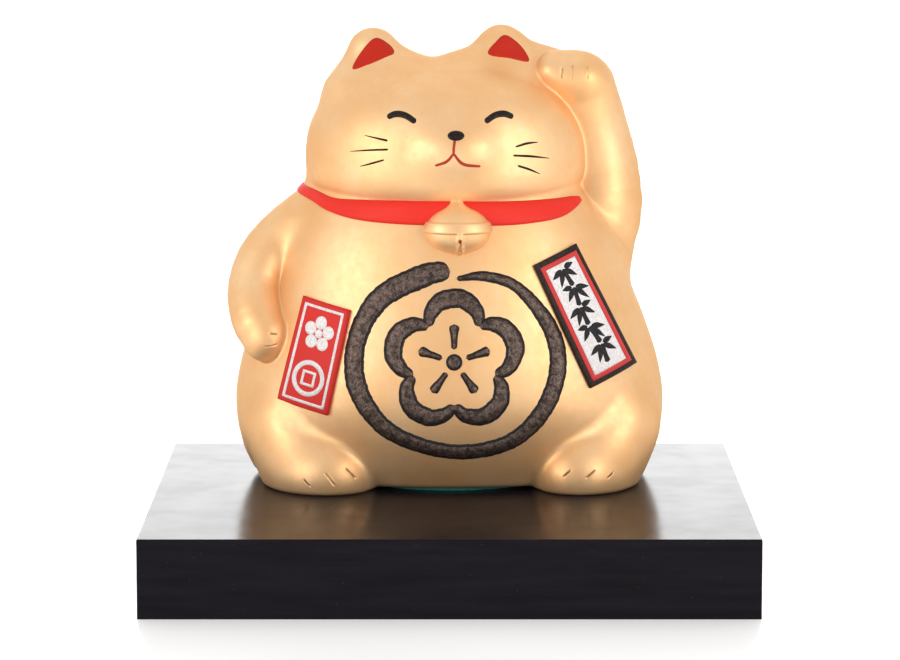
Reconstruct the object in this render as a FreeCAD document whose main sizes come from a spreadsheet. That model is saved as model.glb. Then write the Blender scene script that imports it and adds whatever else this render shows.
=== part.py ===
"""Beckoning cat figurine on a lacquered plinth, as a parametric FreeCAD document, in millimetres.

Frame: +Z up, origin at the middle of the plinth's underside, the cat faces -Y and X runs to the viewer's right.
The cat is a hollow slip-cast ceramic savings bank. Its body, head, ears, hind feet and lowered arm are one
casting. The raised arm is cast apart and luted on. The bell, the collar and two flat plaques are applied to the
outside. A rubber stopper closes the hole in the base, inside a ring of felt, and the cat stands loose on the plinth.
"""

import FreeCAD
import Part
import Sketcher
import os

from FreeCAD import Placement, Rotation, Vector

doc = FreeCAD.newDocument("beckoning_cat")
sheet = doc.addObject("Spreadsheet::Sheet", "Dimensions")

# The driving dimensions. Heights of the cat are above the plinth's top, and depths are from the cat's own axis.
DRIVING = {
    "plinth_width": 200,
    "plinth_depth": 180,
    "plinth_height": 26,
    "plinth_edge": 0.5,
    "cat_back": 33,
    "wall": 4.5,
    "felt_thickness": 1.2,
    "felt_radius": 37.5,
    "felt_hole_radius": 21,
    "recess_radius": 19,
    "recess_depth": 2.2,
    "hole_radius": 15,
    "plug_clearance": 0.1,
    "plug_flange_radius": 18,
    "plug_flange_thickness": 1.6,
    "plug_height": 9,
    "plug_wall": 2.4,
    "plug_bar_width": 3,
    "plug_bar_height": 4,
    "plug_bar_lift": 0.4,
    "slot_length": 34,
    "slot_gap": 5.2,
    "slot_height": 86,
    "slot_start": 21.5,
    "slot_reach": 43,
    "head_shift": -1,
    "collar_proud": 0.6,
    "collar_width": 7.2,
    "collar_front_height": 95,
    "collar_tilt": 7.5,
    "collar_reach": 10,
    "plaque_proud": 1.2,
    "plaque_depth": 9,
    "left_plaque_width": 20,
    "left_plaque_length": 37.5,
    "right_plaque_width": 20.5,
    "right_plaque_length": 48,
    "bell_radius": 10.6,
    "bell_height": 89.6,
    "bell_centre": 2.4,
    "bell_axis_depth": -37.5,
    "bell_lean": 17,
    "bell_band": 0.7,
    "bell_slit": 1.2,
    "bell_slit_reach": 12,
    "bell_slit_length": 5.3,
}

# Horizontal sections of the one-piece casting: height, half width, half depth, and how far the middle lies back.
SECTIONS = {
    "base": (1.2, 62, 42, 1),
    "sole": (6.5, 69.6, 48, 0.5),
    "foot": (15, 73.4, 51, 0),
    "hip": (27, 74.4, 52.3, -0.5),
    "belly": (41, 72.4, 52.2, -1),
    "navel": (55, 68.6, 50.2, -1),
    "waist": (68, 64.4, 46.8, -1),
    "chest": (80, 60.2, 43, -1),
    "shoulder": (91, 55.4, 39.3, -1),
    "neck": (101, 50.6, 36.8, -1),
    "jaw": (109, 50.2, 37.9, -1.8),
    "cheek": (117, 48.9, 38, -1.8),
    "brow": (125, 45.8, 35.8, -1.2),
    "temple": (133, 39.6, 30.8, -0.2),
    "crown": (140, 29.6, 23, 1),
    "crest": (144.4, 17.6, 13.6, 1.6),
    "top": (146.2, 5, 4, 2),
}
HEAD = ("jaw", "cheek", "brow", "temple", "crown", "crest", "top")
NECK = ("chest", "shoulder", "neck", "jaw", "cheek")
CAVITY = ("sole", "foot", "hip", "belly", "navel", "waist", *NECK, "brow", "temple")

# Rounded masses that swell out of the casting: centre (x, y, z), half sizes (x, y, z), and the lean about Y.
SWELLINGS = {
    "left_ear": ((-25.6, 4, 134.5), (13.6, 8.5, 21.4), -8),
    "right_ear": ((19.4, 4, 134.5), (15.6, 8.5, 21.6), 7),
    "left_foot": ((-41, -35, 9.5), (17.5, 20, 11), 0),
    "right_foot": ((47, -35, 9.5), (17, 20, 11), 0),
    "lowered_forearm": ((-63, -10, 71), (12.5, 15, 27), 6),
    "lowered_paw": ((-63.5, -20, 54), (9.5, 11, 9.5), 0),
    "muzzle": ((2.2, -33, 115.5), (13, 9, 8), 0),
    "tail": ((14, 46, 16), (13, 9, 9), 0),
}

# The raised arm: circles along it, as centre (x, y, z), radius and lean about Y, and then its paw.
RAISED_ARM = {
    "arm_root": ((49, 3, 72), 12.5, 8),
    "arm_elbow": ((53.4, 4, 90), 13.4, 4),
    "arm_middle": ((52.4, 4, 108), 12.4, -8),
    "arm_wrist": ((48.2, 3, 126), 11.4, -16),
    "arm_end": ((45, 2, 137), 9.5, -18),
}
RAISED_PAW = ((43.2, -5, 140.6), (13, 14, 9.6), 8)

# The bell's turned outline, as radius and height in shares of the bell's radius, and the heights of its bands.
BELL_PROFILE = {
    "foot": (0, -0.9),
    "tip": (0, 1),
    "loop": (0.16, 0.98),
    "neck": (0.2, 0.86),
    "shoulder": (0.75, 0.56),
    "waist": (1, 0),
    "low": (0.76, -0.6),
}
BELL_BANDS = (("bell_band_high", 1.6), ("bell_band_low", -1.1))

# Each plaque: the point of its face (x, y, z), its turn about Z, its lean back and its roll in its own plane.
LEFT_PLAQUE = ((-45.4, -39.6, 47), -32, -8, 16)
RIGHT_PLAQUE = ((44.6, -36.6, 60.5), 34, -15, -29)


def fill_sheet():
    """Writes every driving dimension and section into the sheet, each under an alias."""
    cells = dict(DRIVING)
    for name, (height, half_width, half_depth, middle) in SECTIONS.items():
        cells[name + "_height"] = height
        cells[name + "_half_width"] = half_width
        cells[name + "_half_depth"] = half_depth
        cells[name + "_middle"] = middle
    for row, (alias, value) in enumerate(cells.items(), start=1):
        sheet.set("A%d" % row, alias)
        sheet.set("B%d" % row, str(value))
        sheet.setAlias("B%d" % row, alias)
    doc.recompute()


def size(alias):
    """A cell's value, for the few shapes that are set from code."""
    return float(sheet.get(alias))


def bind(obj, **expressions):
    """Binds properties to expressions. A double underscore in a keyword stands for a dot."""
    for prop, expression in expressions.items():
        obj.setExpression(prop.replace("__", "."), expression)
    return obj


def cell(text):
    """The words of an expression that are aliases, with the sheet's name put before each."""
    words = [("Dimensions." + w) if w[0].isalpha() else w for w in text.split()]
    return " ".join(words)


def add(kind, name):
    obj = doc.addObject(kind, name)
    obj.Label = name
    return obj


def place(obj, x, y, z, rotation=None):
    """Puts an object at a point of the cat, given as numbers or as expressions of aliases."""
    obj.Placement = Placement(Vector(), rotation or Rotation())
    bind(
        obj,
        Placement__Base__x=cell(str(x)),
        Placement__Base__y=cell("cat_back + " + str(y)),
        Placement__Base__z=cell("plinth_height + " + str(z)),
    )
    return obj


def about_y(degrees):
    return Rotation(Vector(0, 1, 0), degrees)


def fuse(name, shapes):
    obj = add("Part::MultiFuse", name)
    obj.Shapes = shapes
    return obj


def cut(name, base, tool):
    obj = add("Part::Cut", name)
    obj.Base = base
    obj.Tool = tool
    return obj


def common(name, shapes):
    obj = add("Part::MultiCommon", name)
    obj.Shapes = shapes
    return obj


def cylinder(name, radius, height, x, y, z):
    obj = bind(add("Part::Cylinder", name), Radius=cell(radius), Height=cell(height))
    return place(obj, x, y, z)


def box(name, length, width, height, x, y, z, rotation=None):
    obj = add("Part::Box", name)
    bind(obj, Length=cell(length), Width=cell(width), Height=cell(height))
    return place(obj, x, y, z, rotation)


def ellipsoid(name, centre, radii, lean):
    """A Part::Ellipsoid with its half sizes along x, y and z."""
    obj = add("Part::Ellipsoid", name)
    obj.Radius2, obj.Radius3, obj.Radius1 = radii
    return place(obj, *centre, rotation=about_y(lean))


def section_loft(name, stations, offset):
    """A smooth solid through the casting's sections, all of them grown by an expression of aliases."""
    rings = []
    for station in stations:
        ring = add("Part::Ellipse", name + "_" + station)
        bind(
            ring,
            MajorRadius=cell(station + "_half_width + " + offset),
            MinorRadius=cell(station + "_half_depth + " + offset),
        )
        shift = "head_shift" if station in HEAD else "0"
        rings.append(place(ring, shift, station + "_middle", station + "_height"))
    loft = add("Part::Loft", name)
    loft.Sections = rings
    loft.Solid = True
    return loft


def cat_outside():
    """The casting's outer form as one solid, with no hollow."""
    parts = [section_loft("torso_and_head", SECTIONS, "0")]
    for name, (centre, radii, lean) in SWELLINGS.items():
        parts.append(ellipsoid(name, centre, radii, lean))
    block = box("stand_block", "2 * plinth_width", "2 * plinth_depth", "plinth_width",
                "-1 * plinth_width", "-1 * plinth_depth", "0")
    return common("cat_outside", [fuse("cat_masses", parts), block])


def cat_hollow():
    """Everything that is taken out of the casting: the coin chamber, the base hole and its recess, and the slot."""
    chamber = section_loft("chamber", CAVITY, "-1 * wall")
    bottom = "felt_thickness"
    hole = cylinder("base_hole", "hole_radius", "2 * sole_height", "0", "0", bottom)
    recess = cylinder("base_recess", "recess_radius", "recess_depth", "0", "0", bottom)
    slot = box("coin_slot", "slot_length", "slot_reach", "slot_gap",
               "-0.5 * slot_length", "slot_start", "slot_height")
    return fuse("cat_hollow", [chamber, hole, recess, slot])


def raised_arm_outside():
    """The raised arm and its paw as one solid that still runs into the body."""
    rings = []
    for name, (centre, radius, lean) in RAISED_ARM.items():
        ring = add("Part::Circle", name)
        ring.Radius = radius
        rings.append(place(ring, *centre, rotation=about_y(lean)))
    loft = add("Part::Loft", "arm_loft")
    loft.Sections = rings
    loft.Solid = True
    centre, radii, lean = RAISED_PAW
    return fuse("raised_arm_outside", [loft, ellipsoid("raised_paw", centre, radii, lean)])


def plaque(name, settings):
    """A flat plaque: a block whose back is cut to the belly, so that its face stands a little proud."""
    (x, y, z), turn, back, roll = settings
    turned = Rotation(Vector(0, 0, 1), turn).multiply(Rotation(Vector(1, 0, 0), back))
    turned = turned.multiply(Rotation(Vector(0, 1, 0), roll))
    width, length = size(name + "_width"), size(name + "_length")
    corner = turned.multVec(Vector(-width / 2, -size("plaque_proud"), -length / 2))
    block = add("Part::Box", name + "_block")
    bind(
        block,
        Length=cell(name + "_width"),
        Width=cell("plaque_depth"),
        Height=cell(name + "_length"),
    )
    return place(block, x + corner.x, y + corner.y, z + corner.z, turned)


def collar_blank():
    """A ring of the casting's sections grown by the collar's thickness, between two slanting planes."""
    grown = section_loft("collar_grown", NECK, "collar_proud")
    tilt = Rotation(Vector(1, 0, 0), size("collar_tilt"))
    half = size("plinth_width") / 2
    corner = tilt.multVec(Vector(-half, -size("collar_reach"), -size("collar_width") / 2))
    slab = add("Part::Box", "collar_slab")
    bind(slab, Length=cell("plinth_width"), Width=cell("plinth_width"), Height=cell("collar_width"))
    front = "-1 * neck_half_depth + %.6f" % corner.y
    place(slab, corner.x, front, "collar_front_height + %.6f" % corner.z, tilt)
    return common("collar_ring", [grown, slab])


def bell_blank():
    """The applied bell: a turned form with a shoulder, a loop above, a double band and a slit below."""
    radius = size("bell_radius")
    point = {name: Vector(x * radius, z * radius, 0) for name, (x, z) in BELL_PROFILE.items()}
    body = add("PartDesign::Body", "bell_body")
    sketch = body.newObject("Sketcher::SketchObject", "bell_profile")
    planes = {f.Role: f for f in body.Origin.OriginFeatures}
    sketch.AttachmentSupport = (planes["XZ_Plane"], [""])
    sketch.MapMode = "FlatFace"
    sketch.addGeometry(Part.LineSegment(point["foot"], point["tip"]))
    sketch.addGeometry(Part.LineSegment(point["tip"], point["loop"]))
    sketch.addGeometry(Part.LineSegment(point["loop"], point["neck"]))
    sketch.addGeometry(Part.Arc(point["neck"], point["shoulder"], point["waist"]))
    sketch.addGeometry(Part.Arc(point["waist"], point["low"], point["foot"]))
    turned = body.newObject("PartDesign::Revolution", "bell_turned")
    turned.Profile = sketch
    turned.ReferenceAxis = (sketch, ["V_Axis"])
    turned.Angle = 360
    lean = Rotation(Vector(1, 0, 0), -size("bell_lean"))
    parts = [place(body, "bell_centre", "bell_axis_depth", "bell_height", lean)]
    for name, lift in BELL_BANDS:
        ring = add("Part::Torus", name)
        bind(ring, Radius1=cell("bell_radius - 0.4 * bell_band"), Radius2=cell("bell_band"))
        up = lean.multVec(Vector(0, 0, lift))
        parts.append(place(ring, "bell_centre", "bell_axis_depth + %.6f" % up.y, "bell_height + %.6f" % up.z, lean))
    corner = lean.multVec(Vector(-size("bell_slit") / 2, -2 * radius, -0.75 * radius))
    slit = box("bell_slit_block", "bell_slit", "bell_slit_reach", "bell_slit_length",
               "bell_centre + %.6f" % corner.x, "bell_axis_depth + %.6f" % corner.y,
               "bell_height + %.6f" % corner.z, lean)
    return cut("bell_slit_cut", fuse("bell_with_bands", parts), slit)


def plinth():
    """The plinth: one lacquered board with its edges eased."""
    body = add("PartDesign::Body", "plinth")
    sketch = body.newObject("Sketcher::SketchObject", "plinth_outline")
    planes = {f.Role: f for f in body.Origin.OriginFeatures}
    sketch.AttachmentSupport = (planes["XY_Plane"], [""])
    sketch.MapMode = "FlatFace"
    half_x, half_y = size("plinth_width") / 2, size("plinth_depth") / 2
    corners = [Vector(-half_x, -half_y), Vector(half_x, -half_y), Vector(half_x, half_y), Vector(-half_x, half_y)]
    for i in range(4):
        sketch.addGeometry(Part.LineSegment(corners[i], corners[(i + 1) % 4]))
    for i in range(4):
        sketch.addConstraint(Sketcher.Constraint("Coincident", i, 2, (i + 1) % 4, 1))
    for i, kind in enumerate(("Horizontal", "Vertical", "Horizontal", "Vertical")):
        sketch.addConstraint(Sketcher.Constraint(kind, i))
    sketch.addConstraint(Sketcher.Constraint("Symmetric", 0, 1, 2, 1, -1, 1))
    width = sketch.addConstraint(Sketcher.Constraint("DistanceX", 0, 1, 0, 2, 2 * half_x))
    depth = sketch.addConstraint(Sketcher.Constraint("DistanceY", 1, 1, 1, 2, 2 * half_y))
    sketch.setExpression("Constraints[%d]" % width, cell("plinth_width"))
    sketch.setExpression("Constraints[%d]" % depth, cell("plinth_depth"))
    pad = body.newObject("PartDesign::Pad", "plinth_pad")
    pad.Profile = sketch
    pad.setExpression("Length", cell("plinth_height"))
    doc.recompute()
    fillet = body.newObject("PartDesign::Fillet", "plinth_eased")
    upper = [
        "Edge%d" % (i + 1)
        for i, edge in enumerate(pad.Shape.Edges)
        if edge.BoundBox.ZMax > size("plinth_height") / 2
    ]
    fillet.Base = (pad, upper)
    fillet.setExpression("Radius", cell("plinth_edge"))
    return body


def felt():
    """The ring of felt under the cat, round the stopper."""
    disc = cylinder("felt_disc", "felt_radius", "felt_thickness", "0", "0", "0")
    hole = cylinder("felt_hole", "felt_hole_radius", "felt_thickness", "0", "0", "0")
    return cut("base_felt", disc, hole)


def stopper():
    """The rubber stopper: a flange in the recess, a cup in the hole, and a bar across the cup to pull it by."""
    flange_foot = "felt_thickness + recess_depth - plug_flange_thickness"
    neck_foot = "felt_thickness + recess_depth"
    flange = cylinder("plug_flange", "plug_flange_radius", "plug_flange_thickness", "0", "0", flange_foot)
    neck = cylinder("plug_neck", "hole_radius - plug_clearance", "plug_height", "0", "0", neck_foot)
    hollow = cylinder("plug_hollow", "hole_radius - plug_clearance - plug_wall",
                      "plug_height - plug_wall + plug_flange_thickness", "0", "0", flange_foot)
    cup = cut("plug_cup", fuse("plug_solid", [flange, neck]), hollow)
    reach = "hole_radius - plug_clearance - plug_wall * 0.5"
    bar = box("plug_bar", "2 * ( %s )" % reach, "plug_bar_width", "plug_bar_height",
              "-1 * ( %s )" % reach, "-0.5 * plug_bar_width", flange_foot + " + plug_bar_lift")
    return fuse("rubber_stopper", [cup, bar])


def build():
    """Makes every sub-part and returns the objects that are written out, by node name."""
    outside = cat_outside()
    shell = cut("cat_shell", outside, cat_hollow())
    arm = raised_arm_outside()
    bell = bell_blank()
    band = cut("collar_band", cut("collar_on_neck", collar_blank(), outside), fuse("collar_gaps", [arm, bell]))
    nodes = {
        "plinth": plinth(),
        "cat_shell": shell,
        "raised_arm": cut("raised_arm", arm, outside),
        "collar_band": band,
        "collar_bell": cut("collar_bell", bell, outside),
        "left_plaque": cut("left_plaque", plaque("left_plaque", LEFT_PLAQUE), outside),
        "right_plaque": cut("right_plaque", plaque("right_plaque", RIGHT_PLAQUE), outside),
        "base_felt": felt(),
        "rubber_stopper": stopper(),
    }
    return nodes


def check_and_write(nodes):
    """Stops at any failed object or unsound shape, and then writes one STEP file for each node."""
    doc.recompute()
    for obj in doc.Objects:
        if "Invalid" in obj.State or "Error" in obj.State:
            raise RuntimeError("%s failed: %s" % (obj.Label, obj.State))
    os.makedirs("parts", exist_ok=True)
    for name, obj in nodes.items():
        shape = obj.Shape
        if shape.isNull() or not shape.isValid():
            raise RuntimeError("%s has no sound shape" % name)
        shape.exportStep(os.path.join("parts", name + ".step"))
        print("%-16s solids %d volume %.0f mm3" % (name, len(shape.Solids), shape.Volume))


fill_sheet()
check_and_write(build())
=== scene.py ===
"""Beckoning cat figurine on its plinth: the look of every piece, in metres, in the CAD model's frame.

The gold casting is one implicit form, written as a signed field in millimetres and meshed on a grid.
Its heights are above the plinth's top and its depths are from the cat's own axis, as in the CAD model.
Paint and raised enamel are thin closed pieces laid on that form, so they follow it exactly.
"""

import math

import bmesh
import bpy
import numpy as np
from mathutils import Matrix, Vector


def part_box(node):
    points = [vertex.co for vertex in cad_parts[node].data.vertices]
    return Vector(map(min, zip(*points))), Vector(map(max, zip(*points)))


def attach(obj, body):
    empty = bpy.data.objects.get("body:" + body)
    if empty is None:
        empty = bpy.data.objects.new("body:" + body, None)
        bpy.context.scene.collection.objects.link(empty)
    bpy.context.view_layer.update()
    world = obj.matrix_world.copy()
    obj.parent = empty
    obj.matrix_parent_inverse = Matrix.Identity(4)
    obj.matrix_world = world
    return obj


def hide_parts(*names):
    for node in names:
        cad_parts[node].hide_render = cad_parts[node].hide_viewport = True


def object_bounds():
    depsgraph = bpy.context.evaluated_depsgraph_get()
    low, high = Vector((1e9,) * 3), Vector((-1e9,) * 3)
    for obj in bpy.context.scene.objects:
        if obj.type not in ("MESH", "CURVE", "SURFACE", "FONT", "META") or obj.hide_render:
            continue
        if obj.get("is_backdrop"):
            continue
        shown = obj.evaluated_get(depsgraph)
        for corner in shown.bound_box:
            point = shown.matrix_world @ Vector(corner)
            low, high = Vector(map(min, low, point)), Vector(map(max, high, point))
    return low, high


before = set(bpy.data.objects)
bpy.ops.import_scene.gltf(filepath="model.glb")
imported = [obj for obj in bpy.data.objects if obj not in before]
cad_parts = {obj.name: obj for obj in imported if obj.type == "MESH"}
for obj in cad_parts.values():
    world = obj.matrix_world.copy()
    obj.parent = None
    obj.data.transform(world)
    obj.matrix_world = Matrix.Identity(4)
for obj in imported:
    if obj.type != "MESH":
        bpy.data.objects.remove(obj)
cad_low, cad_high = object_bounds()

MM = 0.001
CAT_BACK = 33.0  # the cat's axis lies this far behind the plinth's middle
PLINTH_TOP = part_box("plinth")[1][2] / MM
CELL, QUICK_CELL = 1.0, 1.6
SMALL_CELL = 0.35  # grid step of the bell


# ---------------------------------------------------------------- fields


def vec(*parts):
    """Points as an array of shape (n, 3)."""
    return np.stack([np.asarray(p, dtype=float) for p in parts], axis=-1)


def smooth_min(a, b, radius):
    """The union of two fields, with a fillet of about that radius."""
    h = np.clip(0.5 + 0.5 * (b - a) / radius, 0, 1)
    return b + (a - b) * h - radius * h * (1 - h)


def smooth_max(a, b, radius):
    return -smooth_min(-a, -b, radius)


def turned(p, centre, degrees=(0, 0, 0)):
    """Points in the frame of a form that sits at centre, turned about x, then y, then z."""
    q = p - np.array(centre, dtype=float)
    turn = Matrix.Identity(3)
    for axis, angle in zip("XYZ", degrees):
        turn = Matrix.Rotation(math.radians(angle), 3, axis) @ turn
    return q @ np.array(turn)


def ellipsoid(p, centre, radii, degrees=(0, 0, 0)):
    """Close to the distance from an ellipsoid."""
    q = turned(p, centre, degrees)
    r = np.array(radii, dtype=float)
    near = np.linalg.norm(q / r, axis=1)
    far = np.linalg.norm(q / r**2, axis=1)
    return near * (near - 1) / np.maximum(far, 1e-9)


def capsule(p, start, end, r_start, r_end=None):
    """A round cone between two points, for limbs and creases."""
    r_end = r_start if r_end is None else r_end
    a, b = np.array(start, dtype=float), np.array(end, dtype=float)
    along = b - a
    t = np.clip(((p - a) @ along) / (along @ along), 0, 1)
    return np.linalg.norm(p - a - t[:, None] * along, axis=1) - (r_start + (r_end - r_start) * t)


def smooth_curve(xs, ys, x):
    """A smooth curve through points, with the slopes of a Catmull-Rom spline."""
    xs, ys = np.array(xs, dtype=float), np.array(ys, dtype=float)
    slopes = np.gradient(ys, xs)
    x = np.clip(x, xs[0], xs[-1])
    i = np.clip(np.searchsorted(xs, x) - 1, 0, len(xs) - 2)
    step = xs[i + 1] - xs[i]
    t = (x - xs[i]) / step
    h00, h10 = 2 * t**3 - 3 * t**2 + 1, t**3 - 2 * t**2 + t
    h01, h11 = -2 * t**3 + 3 * t**2, t**3 - t**2
    return h00 * ys[i] + h10 * step * slopes[i] + h01 * ys[i + 1] + h11 * step * slopes[i + 1]


def limb(p, stations, pieces=14, margin=10.0):
    """A round limb along a smooth curve through stations of (x, y, z, radius), exact only near it."""
    knots = np.arange(len(stations))
    at = np.linspace(0, knots[-1], pieces + 1)
    rows = np.stack([smooth_curve(knots, column, at) for column in zip(*stations)], axis=1)
    low = (rows[:, :3] - rows[:, 3:]).min(axis=0) - margin
    high = (rows[:, :3] + rows[:, 3:]).max(axis=0) + margin
    away = np.linalg.norm(np.maximum(0, np.maximum(low - p, p - high)), axis=1)
    near = away == 0
    parts = [capsule(p[near], a[:3], b[:3], a[3], b[3]) for a, b in zip(rows, rows[1:])]
    total = away + margin
    total[near] = np.min(parts, axis=0)
    return total


# ---------------------------------------------------------------- the gold casting

# Torso profile: height, half width, depth of the front and depth of the back, from the cat's axis.
TORSO = (
    (-9, 44, 26, 24),
    (0, 66.0, 38.8, 41),
    (6, 70.2, 43.6, 47),
    (15, 73.2, 48.8, 50),
    (27, 74.4, 52.6, 51),
    (41, 72.2, 53.4, 50),
    (55, 67.6, 51.2, 48),
    (68, 62.6, 48.0, 45),
    (80, 59.5, 44.4, 41.5),
    (91, 54.0, 40.4, 38),
    (100, 48.0, 36.0, 34.5),
    (108, 40.0, 29.5, 28),
    (116, 26.0, 18.0, 18),
)
HEAD_CENTRE = (-1.0, -1.5, 110.0)
HEAD_WIDTH, HEAD_FRONT, HEAD_BACK = 48.7, 40.5, 37.0
HEAD_UP, HEAD_DOWN = 34.4, 21.0
HEAD_SQUARENESS = 2.45
HEAD_SCALE = 34.0  # brings the head's field close to millimetres
# Each ear: tip, inner foot, outer foot, radii at the foot and the top, and half the tip's width.
EARS = (
    ((-26.2, -3, 147.4), (-11.5, -7, 135.5), (-33.2, -6, 134.4), 9.2, 5.8, 2.2),
    ((17.8, -2, 148.2), (7, -5, 138.5), (33.0, 1, 139.0), 10.0, 5.9, 0.6),
)
MUZZLE = (2.4, -36.6, 116.3), (10.5, 7.2, 6.4)
# Limbs, as stations of (x, y, z, radius) from the body outwards.
LOWERED_ARM = (
    (-40.5, 2, 92, 10),
    (-53, -2, 85, 10.8),
    (-62.8, -7, 76, 10.2),
    (-67.0, -13, 66, 9.4),
    (-65.6, -21, 57, 9.2),
    (-63.2, -24.5, 52.5, 8.4),
)
RAISED_ARM = (
    (41, 4, 72, 14.0),
    (49.8, 4, 88, 16.4),
    (51.6, 4, 104, 14.4),
    (48.8, 2, 119, 13.2),
    (46.0, -1, 130, 12.6),
    (44.4, -3, 136, 9.8),
)
TAIL = ((2, 45, 10, 8.5), (12, 46.4, 13, 8.8), (21, 45, 18, 8.0), (25.5, 42.8, 24, 6.5))
# Paws, as centre, radii and turn.
LOWERED_PAW = (-62.4, -25.4, 51.0), (7.7, 8.2, 8.6)
RAISED_PAW = (43.4, -5.5, 138.8), (12.0, 11.5, 8.4), (0, 8, 4)
KNUCKLE = (35.2, -7, 141.0), (6.0, 8.8, 5.8), (0, -6, 0)
# Each leg: its side, the foot's middle in x and y, the foot's half width and its turn in degrees.
LEGS = ((-1, -44.6, -26.5, 19.0, 25), (1, 46.8, -25.5, 17.8, -18))
FOOT_LEVEL, FOOT_LENGTH, FOOT_HEIGHT = 5.6, 23.4, 16.8  # a foot's middle height and radii
THIGH_ASIDE, THIGH_BACK, THIGH_LEVEL = 8, 10.5, 20  # where a thigh's middle is from its foot's
THIGH_RADII, THIGH_LEAN = (18, 21.5, 20), 18
BASE_LIFT = 1.2  # the felt holds the torso's flat base this far above the plinth
# Fillets where forms meet.
EAR_FILLET, MUZZLE_FILLET, NECK_FILLET, LEG_FILLET, TAIL_FILLET = 7, 8, 2.0, 2.6, 5
KNEE_FILLET, PAW_FILLET, BASE_FILLET, RIM_FILLET, FOOT_EDGE, OPENING_EDGE = 9, 5, 1.5, 4, 1.0, 0.8
SHOULDER_FILLET, FILLET_GROWTH = 9, 0.4  # a shoulder's widest fillet, and how fast it is reached
LOWERED_TIGHT, LOWERED_ARMPIT = 1.4, 72  # the tight fillet, up to this height
RAISED_TIGHT, RAISED_ARMPIT = 1.2, 98  # the tight fillet, down to this height
WALL = 4.5
CHAMBER_FLOOR = 6.5
SLOT_CENTRE, SLOT_HALF, SLOT_ROUND = (0, 44, 88.6), (17, 14, 2.6), 1.2
HOLE_RADIUS, RECESS_RADIUS, RECESS_TOP = 15.0, 19.0, 3.4
SEAM_SHARED, SEAM_SINK = 0.5, 0.9  # at their joint the two castings share this band, then dip this deep
CAT_LAP, ARM_LAP = 4, 3  # how far each casting runs on under the other


def torso_field(p):
    """The torso between its lowest and highest stations, oval at every height."""
    z, width, front, back = (np.array(column, dtype=float) for column in zip(*TORSO))
    half_width = smooth_curve(z, width, p[:, 2])
    depth = np.where(p[:, 1] < 0, smooth_curve(z, front, p[:, 2]), smooth_curve(z, back, p[:, 2]))
    u, v = p[:, 0] / half_width, p[:, 1] / depth
    near = np.hypot(u, v)
    far = np.hypot(u / half_width, v / depth)
    wall = near * (near - 1) / np.maximum(far, 1e-9)
    rim = np.maximum(p[:, 2] - z[-1], z[0] - p[:, 2])
    return smooth_max(wall * 0.9, rim, RIM_FILLET)


def head_field(p):
    """A squarish ellipsoid, flatter below than above."""
    q = p - np.array(HEAD_CENTRE)
    depth = np.where(q[:, 1] < 0, HEAD_FRONT, HEAD_BACK)
    height = np.where(q[:, 2] > 0, HEAD_UP, HEAD_DOWN)
    level = np.hypot(q[:, 0] / HEAD_WIDTH, q[:, 1] / depth)
    n = HEAD_SQUARENESS
    total = (level**n + np.abs(q[:, 2] / height) ** n) ** (1 / n)
    return (total - 1) * HEAD_SCALE


def ear_field(p, tip, inner, outer, foot, top, spread):
    """A broad ear in the plane of the face: a soft triangle with a blunt tip."""
    tip, shift = np.array(tip, dtype=float), np.array([spread, 0, 0])
    left = capsule(p, outer, tip - shift, foot, top)
    right = capsule(p, inner, tip + shift, foot, top)
    middle = tuple((a + b) / 2 for a, b in zip(inner, outer))
    return smooth_min(smooth_min(left, right, 6), capsule(p, middle, tip, foot * 1.08, top), 6)


def trunk_field(p):
    """Torso, head, ears and muzzle."""
    torso = smooth_max(torso_field(p), BASE_LIFT - p[:, 2], BASE_FILLET)
    f = smooth_min(torso, head_field(p), NECK_FILLET)
    for ear in EARS:
        f = smooth_min(f, ear_field(p, *ear), EAR_FILLET)
    return smooth_min(f, ellipsoid(p, *MUZZLE), MUZZLE_FILLET)


def lowered_arm_field(p):
    """The arm that hangs at the side, with its paw turned in over the belly."""
    return smooth_min(limb(p, LOWERED_ARM), ellipsoid(p, *LOWERED_PAW), 2)


def leg_field(p, side, x, y, breadth, turn):
    """A thigh that swells out of the torso and a low broad foot turned inwards."""
    foot = ellipsoid(p, (x, y, FOOT_LEVEL), (breadth, FOOT_LENGTH, FOOT_HEIGHT), (0, 0, turn))
    hip = (x + THIGH_ASIDE * side, y + THIGH_BACK, THIGH_LEVEL)
    return smooth_min(foot, ellipsoid(p, hip, THIGH_RADII, (0, THIGH_LEAN * side, 0)), KNEE_FILLET)


def legs_field(p):
    """Both legs."""
    return np.minimum(*(leg_field(p, *leg) for leg in LEGS))


def belly_field(p):
    """The torso with its legs: what the plaques and the brushwork lie on."""
    return smooth_min(torso_field(p), legs_field(p), LEG_FILLET)


def armpit_fillet(away, tight):
    """A fillet that is tight in the armpit and widens away from it to the shoulder's."""
    return np.clip(tight + away * FILLET_GROWTH, tight, SHOULDER_FILLET)


def body_field(p):
    """The one-piece casting: trunk, legs, lowered arm and a tail curled up against the back."""
    f = smooth_min(trunk_field(p), legs_field(p), LEG_FILLET)
    f = smooth_min(f, lowered_arm_field(p), armpit_fillet(p[:, 2] - LOWERED_ARMPIT, LOWERED_TIGHT))
    return smooth_min(f, limb(p, TAIL), TAIL_FILLET)


def raised_arm_field(p):
    """The raised arm and its bent paw."""
    paw = smooth_min(ellipsoid(p, *RAISED_PAW), ellipsoid(p, *KNUCKLE), PAW_FILLET)
    return smooth_min(limb(p, RAISED_ARM), paw, PAW_FILLET)


def whole_field(p):
    """Body and raised arm together, with a tight crease beside the head and a soft shoulder."""
    fillet = armpit_fillet(RAISED_ARMPIT - p[:, 2], RAISED_TIGHT)
    return smooth_min(body_field(p), raised_arm_field(p), fillet)


def side_of_arm(p):
    """Below zero nearer to the raised arm, above zero nearer to the body."""
    return raised_arm_field(p) - body_field(p)


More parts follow.
